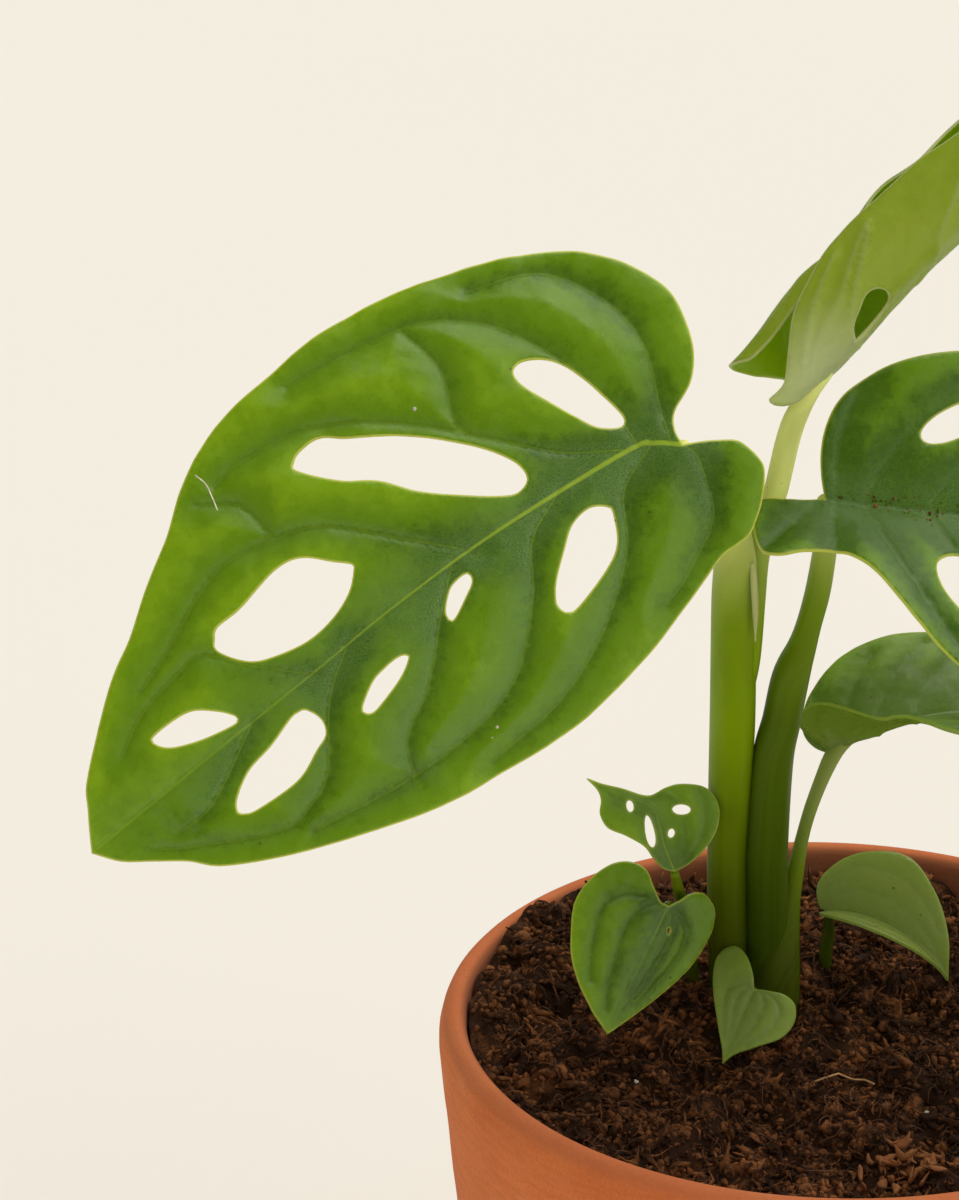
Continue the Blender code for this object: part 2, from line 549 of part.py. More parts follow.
def soil_height(x, y):
    """Gentle mounds and hollows of the soil's surface."""
    waves = (sin(210 * x + 1.1) * cos(180 * y - 0.6) + 0.7 * sin(330 * x - 260 * y + 2.0)
             + 0.6 * cos(420 * x + 390 * y))
    mound = 0.0016 / (1 + ((x + 0.009) ** 2 + (y - 0.012) ** 2) / 0.018 ** 2)
    hollow = 0.0018 / (1 + ((x + 0.017) ** 2 + (y + 0.009) ** 2) / 0.008 ** 2)
    return SOIL_RELIEF * waves + mound - hollow


def make_soil(collection, tools, feet):
    """The filled inside of the pot, with an uneven top and a plain hole for each stalk."""
    inner = wall_radius(SOIL_LEVEL) - WALL - GAP
    bottom = FLOOR + GAP
    profile = [(inner * i / SOIL_RINGS, SOIL_LEVEL) for i in range(SOIL_RINGS + 1)]
    profile += [(wall_radius(h) - WALL - GAP, h) for h in (0.080, 0.045)]
    profile += [(wall_radius(bottom) - WALL - GAP, bottom), (0.02, bottom), (0, bottom)]
    soil = baked(turned("soil", profile, SOIL, collection))
    for vertex in soil.data.vertices:
        if vertex.co.z > SOIL_LEVEL - 0.001:
            fade = min((inner - hypot(vertex.co.x, vertex.co.y)) / 0.006, 1.0)
            vertex.co.z += soil_height(vertex.co.x, vertex.co.y) * max(fade, 0.0)
    for i, (x, y, radius) in enumerate(feet):
        bm = bmesh.new()
        bmesh.ops.create_cone(bm, cap_ends=True, segments=16, radius1=radius + HOLE_GAP,
                              radius2=radius + HOLE_GAP, depth=0.04)
        mesh = bpy.data.meshes.new(f"stalk_hole_{i}")
        bm.to_mesh(mesh)
        bm.free()
        cutter = bpy.data.objects.new(f"stalk_hole_{i}", mesh)
        cutter.location = (x, y, ROOTED_DEPTH - HOLE_GAP + 0.02)
        tools.objects.link(cutter)
        as_cutter(cutter)
        add_boolean(soil, "DIFFERENCE", cutter)
    return soil


def make_tube(name, points, collection):
    """A round stalk along a smooth line, with its own radius at each point."""
    path = spaced(smooth_path(points, 8), TUBE_STEP)
    widest = max(p[3] for p in path)
    curve = bpy.data.curves.new(name, "CURVE")
    curve.dimensions = "3D"
    curve.bevel_depth = widest
    curve.bevel_resolution = TUBE_ROUNDNESS
    curve.use_fill_caps = True
    spline = curve.splines.new("POLY")
    spline.points.add(len(path) - 1)
    for point, p in zip(spline.points, path):
        point.co = (p[0], p[1], p[2], 1)
        point.radius = p[3] / widest
    obj = bpy.data.objects.new(name, curve)
    collection.objects.link(obj)
    return baked(obj)


def make_shoot(name, stalks, collection):
    """Stalks that grow from one foot, joined into one body."""
    obj = make_tube(name, stalks[0], collection)
    obj.data.materials.append(material(STALK))
    if len(stalks) > 1:
        joined = bpy.data.collections.new(name + "_parts")
        bpy.context.scene.collection.children.link(joined)
        for i, points in enumerate(stalks[1:]):
            make_tube(f"{name}_{i}", points, joined)
        add_boolean(obj, "UNION", joined)
        obj = baked(obj)
        for part in list(joined.objects):
            bpy.data.objects.remove(part)
        bpy.data.collections.remove(joined)
    for face in obj.data.polygons:
        face.use_smooth = True
        face.material_index = 0
    return obj


def make_leaf(name, leaf, collection):
    """A thin blade: the flat sheet laid on the bent surface, then given its thickness."""
    small = leaf["length"] < 0.06
    edge_step = SMALL_EDGE_STEP if small else EDGE_STEP
    grid_step = SMALL_GRID_STEP if small else GRID_STEP
    if name == "leaf_young":
        grid_step = ROLLED_GRID_STEP
    flat, faces = flat_sheet(leaf, edge_step, grid_step)
    axes = blade_frame(leaf)
    rib = smooth_path(leaf["midrib"], 12)
    mesh = bpy.data.meshes.new(name)
    mesh.from_pydata([blade_point(leaf, axes, rib, p.x, p.y) for p in flat], [], faces)
    obj = add_object(name, mesh, leaf["material"], collection)
    for face in mesh.polygons:
        face.use_smooth = True
    solid = obj.modifiers.new("thickness", "SOLIDIFY")
    solid.thickness = BLADE
    solid.offset = 0
    return obj


def main():
    for obj in list(bpy.data.objects):
        bpy.data.objects.remove(obj)
    plant = bpy.data.collections.new("monstera_adansonii_in_pot")
    tools = bpy.data.collections.new("cutters")
    bpy.context.scene.collection.children.link(plant)
    bpy.context.scene.collection.children.link(tools)
    make_pot(plant, tools)
    feet = [(p[0], p[1], p[3]) for p in
            (LEFT_STALK[0], RIGHT_STALK[0], MIDDLE_STALK[0], HEART_STALK[0], LOW_STALK[0],
             FOOT_STALK[0])]
    make_soil(plant, tools, feet)
    for name, stalks in SHOOTS.items():
        make_shoot(name, stalks, plant)
    for name, leaf in LEAVES.items():
        make_leaf(name, leaf, plant)


main()
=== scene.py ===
"""Looks of a Monstera adansonii in a terracotta pot, in metres, in the same frame as the CAD."""

from math import cos, pi, radians, sin

import bmesh
import bpy
import numpy as np
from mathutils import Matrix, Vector
from mathutils.geometry import delaunay_2d_cdt


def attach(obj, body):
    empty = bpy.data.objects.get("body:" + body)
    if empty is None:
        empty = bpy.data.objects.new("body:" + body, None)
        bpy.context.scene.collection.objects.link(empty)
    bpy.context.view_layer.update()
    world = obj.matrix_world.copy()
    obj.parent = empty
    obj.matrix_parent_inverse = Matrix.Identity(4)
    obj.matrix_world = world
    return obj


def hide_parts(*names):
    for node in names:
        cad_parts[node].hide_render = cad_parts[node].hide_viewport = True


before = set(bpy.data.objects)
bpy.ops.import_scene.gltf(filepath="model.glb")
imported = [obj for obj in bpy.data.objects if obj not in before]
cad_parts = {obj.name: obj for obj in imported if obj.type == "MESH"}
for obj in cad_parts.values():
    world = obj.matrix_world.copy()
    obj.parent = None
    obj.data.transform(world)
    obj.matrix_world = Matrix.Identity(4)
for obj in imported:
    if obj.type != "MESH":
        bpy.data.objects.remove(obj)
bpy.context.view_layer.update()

# Camera of the photo: its place, its tilt from straight down, and its lens on a 36 mm side
CAMERA_AT = (-0.058167, -0.707165, 0.500202)
CAMERA_TILT = 66.6
CAMERA_LENS = 144

# Pot
POT_HEIGHT = 0.120
RIM_RADIUS = 0.065
BASE_RADIUS = 0.0535
WIDEST_BELOW_RIM = 0.006
WALL = 0.0048
FLOOR = 0.009
DRAIN_HOLES = 3
DRAIN_RADIUS = 0.0045
DRAIN_CIRCLE = 0.032
POT_SEGMENTS = 192
# Heights between which the inside wall turns darker
INSIDE_DARKENING = (0.086, 0.092)

# Soil
GAP = 0.0003
SOIL_LEVEL = 0.1145
SOIL_RELIEF = 0.0011
SOIL_RINGS = 150
SOIL_SEGMENTS = 420
LARGE_CRUMBS = 1100
FINE_CRUMBS = 5600
SHREDS = 2000
BARK_CHIPS = 34
FIBRES = 1500
FIBRE_RINGS = 6
PALE_ROOT = [(-0.0032, -0.0172), (0.0002, -0.0146), (0.0042, -0.0148), (0.0076, -0.0200)]
PALE_GRAINS = [(0.0144, -0.0270), (-0.0325, -0.0175)]
PALE_GRAIN_SIZES = [(0.0006, 0.0005, 0.0005), (0.0004, 0.0003, 0.0003)]
# Bits on the leaves: how many crumbs lie in the right leaf's crease, and on the large leaf the
# pale grains as (u, v, radius) and the fibre's path and thickness
CREASE_BITS = 190
LEAF_GRAINS = [(0.282, -0.245, 0.00035), (0.438, 0.188, 0.00028), (0.452, 0.196, 0.00016)]
LEAF_FIBRE = [(0.584, -0.346), (0.579, -0.326), (0.582, -0.304), (0.586, -0.284)]
LEAF_FIBRE_RADIUS = 0.00011
LEAF_FIBRE_SIDES = 5

# Leaves: blade thickness, and how far from a vein, the midrib or an edge the blade has puffed up
BLADE = 0.00046
VEIN_SPREAD = 0.040
RIB_SPREAD = 0.055
EDGE_SPREAD = 0.022
# Widths in metres: of the creases and keels at veins and midrib, of the painted sheen and shade
# bands beside a vein, and of the rim in which relief or bands fade; then the flat part at the base
VEIN_CREASE = 0.00035
RIB_CREASE = 0.00045
VEIN_KEEL = 0.00045
VEIN_KEEL_DEPTH = 0.00022
SHEEN_BAND = 0.0055
SHADE_BAND = 0.0022
BAND_RIM = 0.009
RELIEF_RIM = 0.0012
FLAT_BASE = 0.007
NEAREST_BATCH = 2000
# u and v are fractions of the blade's length, along the midrib and to its left. Most edges and
# veins and all drawn holes are points of the photo that a scratch program turned into u and v.
LEAVES = {
    "leaf_left": dict(
        base=(-0.0270, -0.0204, 0.2290), heading=-153.7, pitch=-22.8, roll=-44, length=0.111,
        droop=22, step=0.00060, quilt=0.00250, kind="leaf", rib=1.0, vein=0.5, bloom_and_painted_light=1.0,
        left_rise=[(0, -6, -75), (1, -6, -40)],
        right_rise=[(0, 8, -65), (1, 6, -40)],
        midrib=[
            (0, 0), (0.03, -0.024), (0.07, -0.036), (0.3, -0.040), (0.45, -0.034), (0.6, -0.022),
            (0.8, -0.010), (1, 0)],
        left_edge=[
            (0, 0), (-0.024, 0.009), (-0.049, 0.021), (-0.065, 0.031), (-0.074, 0.042),
            (-0.081, 0.068), (-0.079, 0.090), (-0.056, 0.121), (-0.036, 0.139), (-0.012, 0.155),
            (0.010, 0.158), (0.035, 0.160), (0.079, 0.178), (0.180, 0.214), (0.305, 0.242),
            (0.380, 0.247), (0.454, 0.243), (0.533, 0.236), (0.618, 0.218), (0.756, 0.173),
            (0.855, 0.126), (0.895, 0.090), (0.935, 0.061), (0.972, 0.034), (1, 0)],
        right_edge=[
            (0, 0), (-0.004, -0.024), (-0.020, -0.046), (-0.063, -0.070), (-0.095, -0.113),
            (-0.113, -0.180), (-0.105, -0.230), (-0.078, -0.285), (-0.025, -0.338),
            (0.079, -0.385), (0.200, -0.416), (0.310, -0.427), (0.421, -0.414), (0.531, -0.390),
            (0.609, -0.347), (0.664, -0.299), (0.727, -0.255), (0.782, -0.212), (0.847, -0.170),
            (0.939, -0.090), (0.969, -0.048), (1, 0)],
        drawn_holes=[
            [(0.137, -0.216), (0.119, -0.223), (0.092, -0.212), (0.073, -0.190), (0.058, -0.148),
             (0.048, -0.104), (0.045, -0.076), (0.058, -0.069), (0.084, -0.085), (0.103, -0.116),
             (0.124, -0.157), (0.138, -0.193)],
            [(0.459, -0.283), (0.441, -0.293), (0.409, -0.294), (0.378, -0.268), (0.310, -0.224),
             (0.246, -0.162), (0.211, -0.113), (0.206, -0.080), (0.226, -0.069), (0.248, -0.076),
             (0.287, -0.102), (0.339, -0.145), (0.378, -0.190), (0.420, -0.219), (0.462, -0.268)],
            [(0.687, -0.140), (0.675, -0.150), (0.634, -0.153), (0.564, -0.169), (0.527, -0.162),
             (0.494, -0.132), (0.475, -0.115), (0.476, -0.107), (0.500, -0.084), (0.539, -0.068),
             (0.588, -0.062), (0.646, -0.075), (0.674, -0.094), (0.694, -0.125)],
            [(0.839, -0.072), (0.829, -0.079), (0.776, -0.077), (0.744, -0.056), (0.727, -0.037),
             (0.726, -0.029), (0.737, -0.027), (0.783, -0.036), (0.823, -0.052)],
            [(0.641, 0.015), (0.631, 0.037), (0.637, 0.058), (0.660, 0.069), (0.705, 0.088),
             (0.773, 0.088), (0.794, 0.081), (0.798, 0.073), (0.787, 0.058), (0.753, 0.038),
             (0.709, 0.028), (0.665, 0.013), (0.652, 0.012)],
            [(0.485, 0.032), (0.484, 0.038), (0.509, 0.054), (0.553, 0.069), (0.568, 0.071),
             (0.575, 0.066), (0.573, 0.057), (0.542, 0.037), (0.518, 0.031), (0.497, 0.029)],
            [(0.350, -0.014), (0.351, -0.001), (0.372, 0.013), (0.399, 0.028), (0.406, 0.026),
             (0.403, 0.012), (0.383, -0.008), (0.368, -0.014)],
            [(0.252, 0.063), (0.220, 0.034), (0.191, 0.011), (0.158, 0.004), (0.135, 0.016),
             (0.134, 0.029), (0.154, 0.068), (0.189, 0.090), (0.248, 0.110), (0.265, 0.107),
             (0.270, 0.097), (0.268, 0.086)]],
        veins=[
            [(0.010, -0.015), (-0.010, -0.070), (-0.040, -0.150), (-0.038, -0.232),
             (0.009, -0.324), (0.118, -0.364)],
            [(0.049, -0.033), (0.052, -0.127), (0.079, -0.222), (0.124, -0.305), (0.198, -0.359),
             (0.294, -0.380), (0.407, -0.389)],
            [(0.066, -0.037), (0.147, -0.086), (0.226, -0.166), (0.306, -0.246), (0.417, -0.319),
             (0.518, -0.333), (0.570, -0.325)],
            [(0.329, -0.038), (0.405, -0.115), (0.479, -0.185), (0.551, -0.211), (0.638, -0.217),
             (0.752, -0.167), (0.812, -0.142)],
            [(0.607, -0.022), (0.668, -0.080), (0.716, -0.132), (0.770, -0.129), (0.832, -0.114),
             (0.886, -0.085)],
            [(-0.001, 0.001), (-0.009, 0.031), (0.016, 0.106), (0.084, 0.155), (0.138, 0.176)],
            [(0.034, -0.025), (0.102, 0.010), (0.145, 0.082), (0.229, 0.155), (0.337, 0.205),
             (0.466, 0.223)],
            [(0.178, -0.040), (0.249, -0.002), (0.294, 0.068), (0.373, 0.144), (0.469, 0.173),
             (0.586, 0.176), (0.727, 0.159)],
            [(0.359, -0.038), (0.415, 0.016), (0.479, 0.083), (0.547, 0.128), (0.568, 0.177)],
            [(0.539, -0.029), (0.606, 0.023), (0.663, 0.101), (0.708, 0.126), (0.767, 0.131),
             (0.881, 0.076), (0.928, 0.046)],
            [(0.709, -0.016), (0.787, 0.029), (0.835, 0.049), (0.880, 0.050)],
            [(0.228, -0.365), (0.215, -0.282), (0.240, -0.215), (0.240, -0.183)],
            [(0.542, -0.212), (0.555, -0.280), (0.604, -0.317)]]),
    "leaf_right": dict(
        base=(-0.0037, -0.0062, 0.2140), heading=-4, pitch=-2, roll=0, length=0.110,
        droop=24, step=0.00070, quilt=0.00150, kind="leaf", tone=-0.27, rib=0.0, vein=0.1, dirt=1.0,
        margin=0.8,
        left_rise=[(-0.1, 62, -60), (0.1, 52, -40), (0.5, 40, -60)],
        right_rise=[(-0.1, -12, -10), (0.06, -14, -30), (0.22, -20, -80), (0.6, -16, -90)],
        midrib=[(0, 0), (1, 0)],
        left_edge=[
            (0, 0), (-0.007, 0.035), (-0.009, 0.073), (-0.004, 0.111), (0.010, 0.148),
            (0.035, 0.180), (0.085, 0.220), (0.170, 0.253), (0.280, 0.275), (0.420, 0.272),
            (0.570, 0.235), (0.720, 0.175), (0.850, 0.103), (0.940, 0.045), (1, 0)],
        right_edge=[
            (0, 0), (-0.035, -0.003), (-0.075, -0.003), (-0.096, -0.012), (-0.102, -0.045),
            (-0.097, -0.100), (-0.083, -0.128), (-0.058, -0.135), (-0.030, -0.124),
            (0.017, -0.112), (0.050, -0.125), (0.090, -0.166), (0.137, -0.214), (0.210, -0.266),
            (0.310, -0.305), (0.430, -0.315), (0.560, -0.285), (0.700, -0.225), (0.840, -0.138),
            (0.940, -0.060), (1, 0)],
        holes=[
            (0.192, 0.152, 0.155, 0.045, 38, 0.3, 0, 0),
            (0.230, -0.145, 0.155, 0.085, -45, 0.1, 0, 0.2),
            (0.370, 0.125, 0.160, 0.050, 32, 0.3, 0, 0.2),
            (0.570, 0.100, 0.130, 0.045, 25, 0.2, 0, 0),
            (0.425, -0.150, 0.190, 0.060, -38, 0.2, 0, 0.3),
            (0.620, -0.115, 0.130, 0.045, -28, 0.2, 0, 0),
            (0.755, 0.050, 0.080, 0.030, 20, 0.2, 0, 0)]),
    "leaf_young": dict(
        base=(-0.0060, 0.0006, 0.2305), heading=25.5, pitch=44.9, roll=-34, length=0.098,
        droop=22, step=0.00065, quilt=0.00120, kind="young_leaf", rib=0.9, vein=0.5,
        margin=1.0,
        left_rise=[
            (0, 10, 920), (0.11, 10, 890), (0.18, 10, 920), (0.30, 10, 820), (0.37, 10, 880),
            (0.44, 10, 810), (0.52, 10, 820), (0.75, 10, 930)],
        right_rise=[(0, -14, 800), (1, -8, 860)],
        midrib=[(0, 0), (1, 0)],
        left_edge=[
            (0, 0), (-0.010, 0.055), (-0.026, 0.084), (-0.043, 0.113), (-0.056, 0.162),
            (-0.044, 0.214), (0.000, 0.240), (0.200, 0.240), (0.300, 0.210), (0.400, 0.180),
            (0.600, 0.170), (0.800, 0.130), (0.930, 0.050), (1, 0)],
        right_edge=[
            (0, 0), (-0.015, -0.036), (-0.033, -0.049), (-0.054, -0.070), (-0.065, -0.089),
            (-0.063, -0.100), (-0.048, -0.098), (-0.030, -0.098), (-0.012, -0.109),
            (0.015, -0.128), (0.065, -0.160), (0.113, -0.176), (0.193, -0.197), (0.258, -0.196),
            (0.370, -0.193), (0.441, -0.178), (0.600, -0.165), (0.700, -0.145), (0.860, -0.085),
            (0.950, -0.035), (1, 0)],
        drawn_holes=[
            [(0.103, -0.048), (0.112, -0.072), (0.138, -0.085), (0.159, -0.093), (0.175, -0.090),
             (0.186, -0.078), (0.189, -0.055), (0.178, -0.030), (0.155, -0.016), (0.125, -0.014),
             (0.105, -0.026)]],
        veins=[
            [(0.002, -0.063), (0.039, -0.094), (0.081, -0.110), (0.125, -0.120), (0.183, -0.145),
             (0.242, -0.169)],
            [(0.020, -0.010), (0.065, -0.037), (0.097, -0.060), (0.121, -0.087), (0.153, -0.112),
             (0.192, -0.134), (0.236, -0.157)],
            [(0.240, -0.002), (0.277, -0.017), (0.303, -0.065), (0.338, -0.090), (0.373, -0.107),
             (0.430, -0.140)],
            [(-0.013, -0.071), (0.031, -0.109), (0.075, -0.134), (0.126, -0.155), (0.171, -0.170)],
            [(0.400, -0.002), (0.450, -0.040), (0.510, -0.085), (0.580, -0.130)],
            [(0.550, -0.002), (0.610, -0.035), (0.680, -0.070), (0.750, -0.095)],
            [(0.005, 0.008), (0.010, 0.060), (0.050, 0.120), (0.120, 0.160)],
            [(0.100, 0.004), (0.150, 0.060), (0.220, 0.110), (0.300, 0.150)],
            [(0.250, 0.004), (0.310, 0.050), (0.380, 0.090), (0.460, 0.120)],
            [(0.450, 0.003), (0.520, 0.045), (0.600, 0.080), (0.680, 0.105)]]),
    "leaf_middle": dict(
        base=(0.0006, 0.0196, 0.1576), heading=14, pitch=29, roll=0, length=0.056,
        droop=75, step=0.00060, quilt=0.00080, kind="leaf", tone=-0.18, rib=0.1, vein=0.1,
        dull=0.2, margin=0.2,
        left_rise=[(0, 40, -40)],
        right_rise=[(-0.1, 110, -300), (0, 105, -250), (0.16, 42, -60), (0.35, 22, -70)],
        midrib=[(0, 0), (1, 0)],
        left_edge=[
            (0, 0), (-0.030, 0.050), (-0.030, 0.110), (0.020, 0.185), (0.100, 0.245),
            (0.180, 0.280), (0.290, 0.295), (0.440, 0.275), (0.600, 0.225), (0.770, 0.140),
            (0.920, 0.050), (1, 0)],
        right_edge=[
            (0, 0), (-0.012, -0.050), (-0.030, -0.110), (-0.030, -0.170), (0.000, -0.220),
            (0.070, -0.260), (0.190, -0.285), (0.330, -0.285), (0.480, -0.260), (0.630, -0.205),
            (0.790, -0.125), (0.920, -0.045), (1, 0)]),
    "leaf_low": dict(
        base=(0.0015, 0.0260, 0.1247), heading=-34.5, pitch=22, roll=15, length=0.0262,
        droop=90, step=0.00045, quilt=0.00020, kind="leaf", tone=0.34, rib=0.0, vein=0.0,
        dull=0.8, margin=0.05,
        left_rise=[(0, 52, -70)],
        right_rise=[(0, 34, -30)],
        midrib=[(0, 0), (1, 0)],
        left_edge=[
            (0, 0), (-0.060, 0.050), (-0.060, 0.200), (0.060, 0.340), (0.220, 0.430),
            (0.390, 0.460), (0.560, 0.350), (0.750, 0.190), (0.900, 0.060), (1, 0)],
        right_edge=[
            (0, 0), (-0.010, -0.050), (0.020, -0.130), (0.100, -0.220), (0.230, -0.280),
            (0.390, -0.290), (0.560, -0.240), (0.750, -0.140), (0.900, -0.045), (1, 0)]),
    "leaf_foot": dict(
        base=(-0.0124, 0.0014, 0.1228), heading=-115.6, pitch=-28, roll=-14, length=0.0147,
        droop=10, step=0.00040, quilt=0.00035, kind="leaf", tone=0.25, rib=0.25, vein=0.1,
        dull=0.6, margin=0.15,
        left_rise=[(0, 10, -60)],
        right_rise=[(0, 10, -60)],
        midrib=[(0, 0), (1, 0)],
        left_edge=[
            (0, 0), (-0.030, 0.160), (-0.060, 0.360), (0.000, 0.500), (0.200, 0.570),
            (0.450, 0.500), (0.680, 0.280), (0.860, 0.080), (1, 0)],
        right_edge=[
            (0, 0), (-0.200, -0.100), (-0.380, -0.240), (-0.470, -0.400), (-0.360, -0.530),
            (-0.150, -0.540), (0.200, -0.420), (0.580, -0.220), (0.840, -0.070), (1, 0)]),
    "leaf_heart": dict(
        base=(-0.0271, -0.0021, 0.1402), heading=-124, pitch=-41, roll=-33, length=0.0240,
        droop=0, step=0.00040, quilt=0.00085, kind="leaf", tone=-0.12, rib=0.3, vein=0.1,
        dull=0.1, margin=0.6,
        left_rise=[(0, -24, -20)],
        right_rise=[(0, 6, -25)],
        midrib=[(0, 0), (1, 0)],
        left_edge=[
            (0, 0), (-0.070, 0.050), (-0.160, 0.110), (-0.215, 0.200), (-0.190, 0.310),
            (-0.110, 0.375), (0.020, 0.400), (0.280, 0.360), (0.560, 0.240), (0.770, 0.130),
            (0.930, 0.040), (1, 0)],
        right_edge=[
            (0, 0), (-0.005, -0.065), (-0.070, -0.150), (-0.150, -0.240), (-0.160, -0.350),
            (-0.090, -0.470), (0.080, -0.565), (0.280, -0.590), (0.490, -0.520), (0.640, -0.445),
            (0.780, -0.325), (0.920, -0.150), (1, 0)],
        holes=[(0.150, 0.080, 0.045, 0.032, 30, 0, 0, 0)]),
    "leaf_curled": dict(
        base=(-0.0261, -0.0008, 0.1458), heading=157, pitch=42, roll=-58, length=0.0211,
        droop=0, step=0.00040, quilt=0.00040, kind="leaf", tone=0.0, rib=0.8, vein=0.2,
        dull=0.15, margin=0.4,
        left_rise=[(0, 18, -50)],
        right_rise=[(0, 14, -60)],
        midrib=[
            (0, 0), (0.20, -0.080), (0.33, -0.155), (0.45, -0.210), (0.56, -0.190), (0.75, -0.080),
            (1, 0)],
        left_edge=[
            (0, 0), (0.080, 0.050), (0.200, 0.050), (0.310, 0.040), (0.470, 0.090), (0.610, 0.150),
            (0.730, 0.120), (0.800, 0.040), (0.880, 0.000), (1, 0)],
        right_edge=[
            (0, 0), (-0.030, -0.130), (-0.030, -0.300), (0.010, -0.450), (0.100, -0.580),
            (0.220, -0.635), (0.340, -0.620), (0.470, -0.510), (0.530, -0.400), (0.560, -0.280),
            (0.620, -0.220), (0.750, -0.150), (0.890, -0.055), (1, 0)],
        holes=[
            (0.615, -0.098, 0.100, 0.060, -40, 0, 0, 0),
            (0.320, -0.375, 0.145, 0.080, 45, 0, 0, 0),
            (0.365, -0.075, 0.260, 0.080, -33, 0.2, 0, 0),
            (0.240, -0.190, 0.075, 0.055, -60, 0, 0, 0)]),
}

# A stalk is a list of (x, y, z, radius) from its foot to its leaf.
LEFT_STALK = [
    (-0.0157, 0.0153, 0.1020, 0.0035), (-0.0157, 0.0153, 0.1150, 0.0035),
    (-0.0158, 0.0147, 0.1205, 0.0035), (-0.0164, 0.0124, 0.1339, 0.0035),
    (-0.0167, 0.0105, 0.1442, 0.0035), (-0.0168, 0.0065, 0.1627, 0.0037),
    (-0.0169, 0.0036, 0.1749, 0.0038), (-0.0174, -0.0014, 0.1948, 0.0037),
    (-0.0176, -0.0045, 0.2040, 0.0034), (-0.0193, -0.0095, 0.2125, 0.0026),
    (-0.0236, -0.0150, 0.2208, 0.0021), (-0.0270, -0.0196, 0.2284, 0.0013)]
YOUNG_STALK = [
    (-0.0158, 0.0036, 0.1749, 0.0018), (-0.0148, 0.0012, 0.1831, 0.0020),
    (-0.0143, -0.0005, 0.1944, 0.0020), (-0.0138, -0.0007, 0.2015, 0.0019),
    (-0.0127, -0.0009, 0.2085, 0.0019), (-0.0111, -0.0009, 0.2136, 0.0019),
    (-0.0094, 0.0003, 0.2214, 0.0019), (-0.0080, 0.0003, 0.2260, 0.0018),
    (-0.0058, 0.0004, 0.2298, 0.0013), (-0.0030, 0.0010, 0.2330, 0.0008)]
RIGHT_STALK = [
    (-0.0096, 0.0137, 0.1020, 0.0034), (-0.0096, 0.0137, 0.1150, 0.0034),
    (-0.0097, 0.0133, 0.1205, 0.0034), (-0.0100, 0.0108, 0.1348, 0.0035),
    (-0.0104, 0.0087, 0.1451, 0.0035), (-0.0100, 0.0056, 0.1631, 0.0034),
    (-0.0088, 0.0046, 0.1709, 0.0032), (-0.0076, 0.0029, 0.1795, 0.0031),
    (-0.0060, 0.0024, 0.1850, 0.0024), (-0.0050, 0.0022, 0.1890, 0.0021),
    (-0.0037, 0.0020, 0.1951, 0.0021), (-0.0029, 0.0009, 0.2027, 0.0020),
    (-0.0028, -0.0014, 0.2085, 0.0020), (-0.0037, -0.0058, 0.2137, 0.0013)]
MIDDLE_STALK = [
    (-0.0080, 0.0108, 0.1020, 0.0038), (-0.0080, 0.0108, 0.1150, 0.0038),
    (-0.0078, 0.0110, 0.1200, 0.0036), (-0.0071, 0.0120, 0.1270, 0.0028),
    (-0.0062, 0.0129, 0.1330, 0.0019), (-0.0051, 0.0137, 0.1395, 0.0014),
    (-0.0041, 0.0148, 0.1445, 0.0011), (-0.0028, 0.0162, 0.1490, 0.0011),
    (-0.0010, 0.0179, 0.1535, 0.0012), (0.0009, 0.0196, 0.1573, 0.0014),
    (0.0026, 0.0206, 0.1590, 0.0012), (0.0052, 0.0214, 0.1606, 0.0007)]
LOW_STALK = [
    (0.0012, 0.0248, 0.1020, 0.0011), (0.0012, 0.0248, 0.1150, 0.0011),
    (0.0013, 0.0250, 0.1182, 0.0011), (0.0017, 0.0256, 0.1212, 0.0010),
    (0.0016, 0.0260, 0.1246, 0.0008)]
FOOT_STALK = [
    (-0.0122, 0.0054, 0.1020, 0.0009), (-0.0122, 0.0054, 0.1145, 0.0009),
    (-0.0122, 0.0051, 0.1172, 0.0009), (-0.0123, 0.0037, 0.1198, 0.0008),
    (-0.0124, 0.0016, 0.1226, 0.0006)]
HEART_STALK = [
    (-0.0220, 0.0145, 0.1020, 0.0013), (-0.0220, 0.0145, 0.1150, 0.0013),
    (-0.0222, 0.0140, 0.1190, 0.0012), (-0.0232, 0.0115, 0.1265, 0.0011),
    (-0.0255, 0.0055, 0.1350, 0.0010), (-0.0269, 0.0008, 0.1388, 0.0008),
    (-0.0271, -0.0020, 0.1400, 0.0006)]
CURLED_STALK = [
    (-0.0220, 0.0145, 0.1160, 0.0010), (-0.0221, 0.0138, 0.1200, 0.0010),
    (-0.0231, 0.0100, 0.1300, 0.0010), (-0.0245, 0.0058, 0.1370, 0.0010),
    (-0.0254, 0.0020, 0.1417, 0.0009), (-0.0261, -0.0007, 0.1457, 0.0007)]

# Each shoot's stalks, with the height where a sheath ends and how much painted shade darkens the foot
SHOOTS = {
    "main_stalks": [(LEFT_STALK, 0.199, 0), (YOUNG_STALK, None, 0), (RIGHT_STALK, 0.181, 0.75),
                    (MIDDLE_STALK, 0.139, 0.15)],
    "seedling_stalks": [(HEART_STALK, None, 0), (CURLED_STALK, None, 0)],
    "low_stalk": [(LOW_STALK, None, 0.4)],
    "foot_stalk": [(FOOT_STALK, None, 0)],
}
# The papery edge of the left stalk's sheath: rows of (x, y, z, width), and the way it faces
PAPER_EDGE = [
    (-0.0140, -0.0036, 0.1885, 0.0002), (-0.0140, -0.0042, 0.1910, 0.0007),
    (-0.0141, -0.0048, 0.1940, 0.0013), (-0.0146, -0.0062, 0.2005, 0.0014),
    (-0.0150, -0.0066, 0.2035, 0.0006)]
PAPER_FACING = (0.55, -0.8, 0.1)
PAPER_THICKNESS = 0.00028

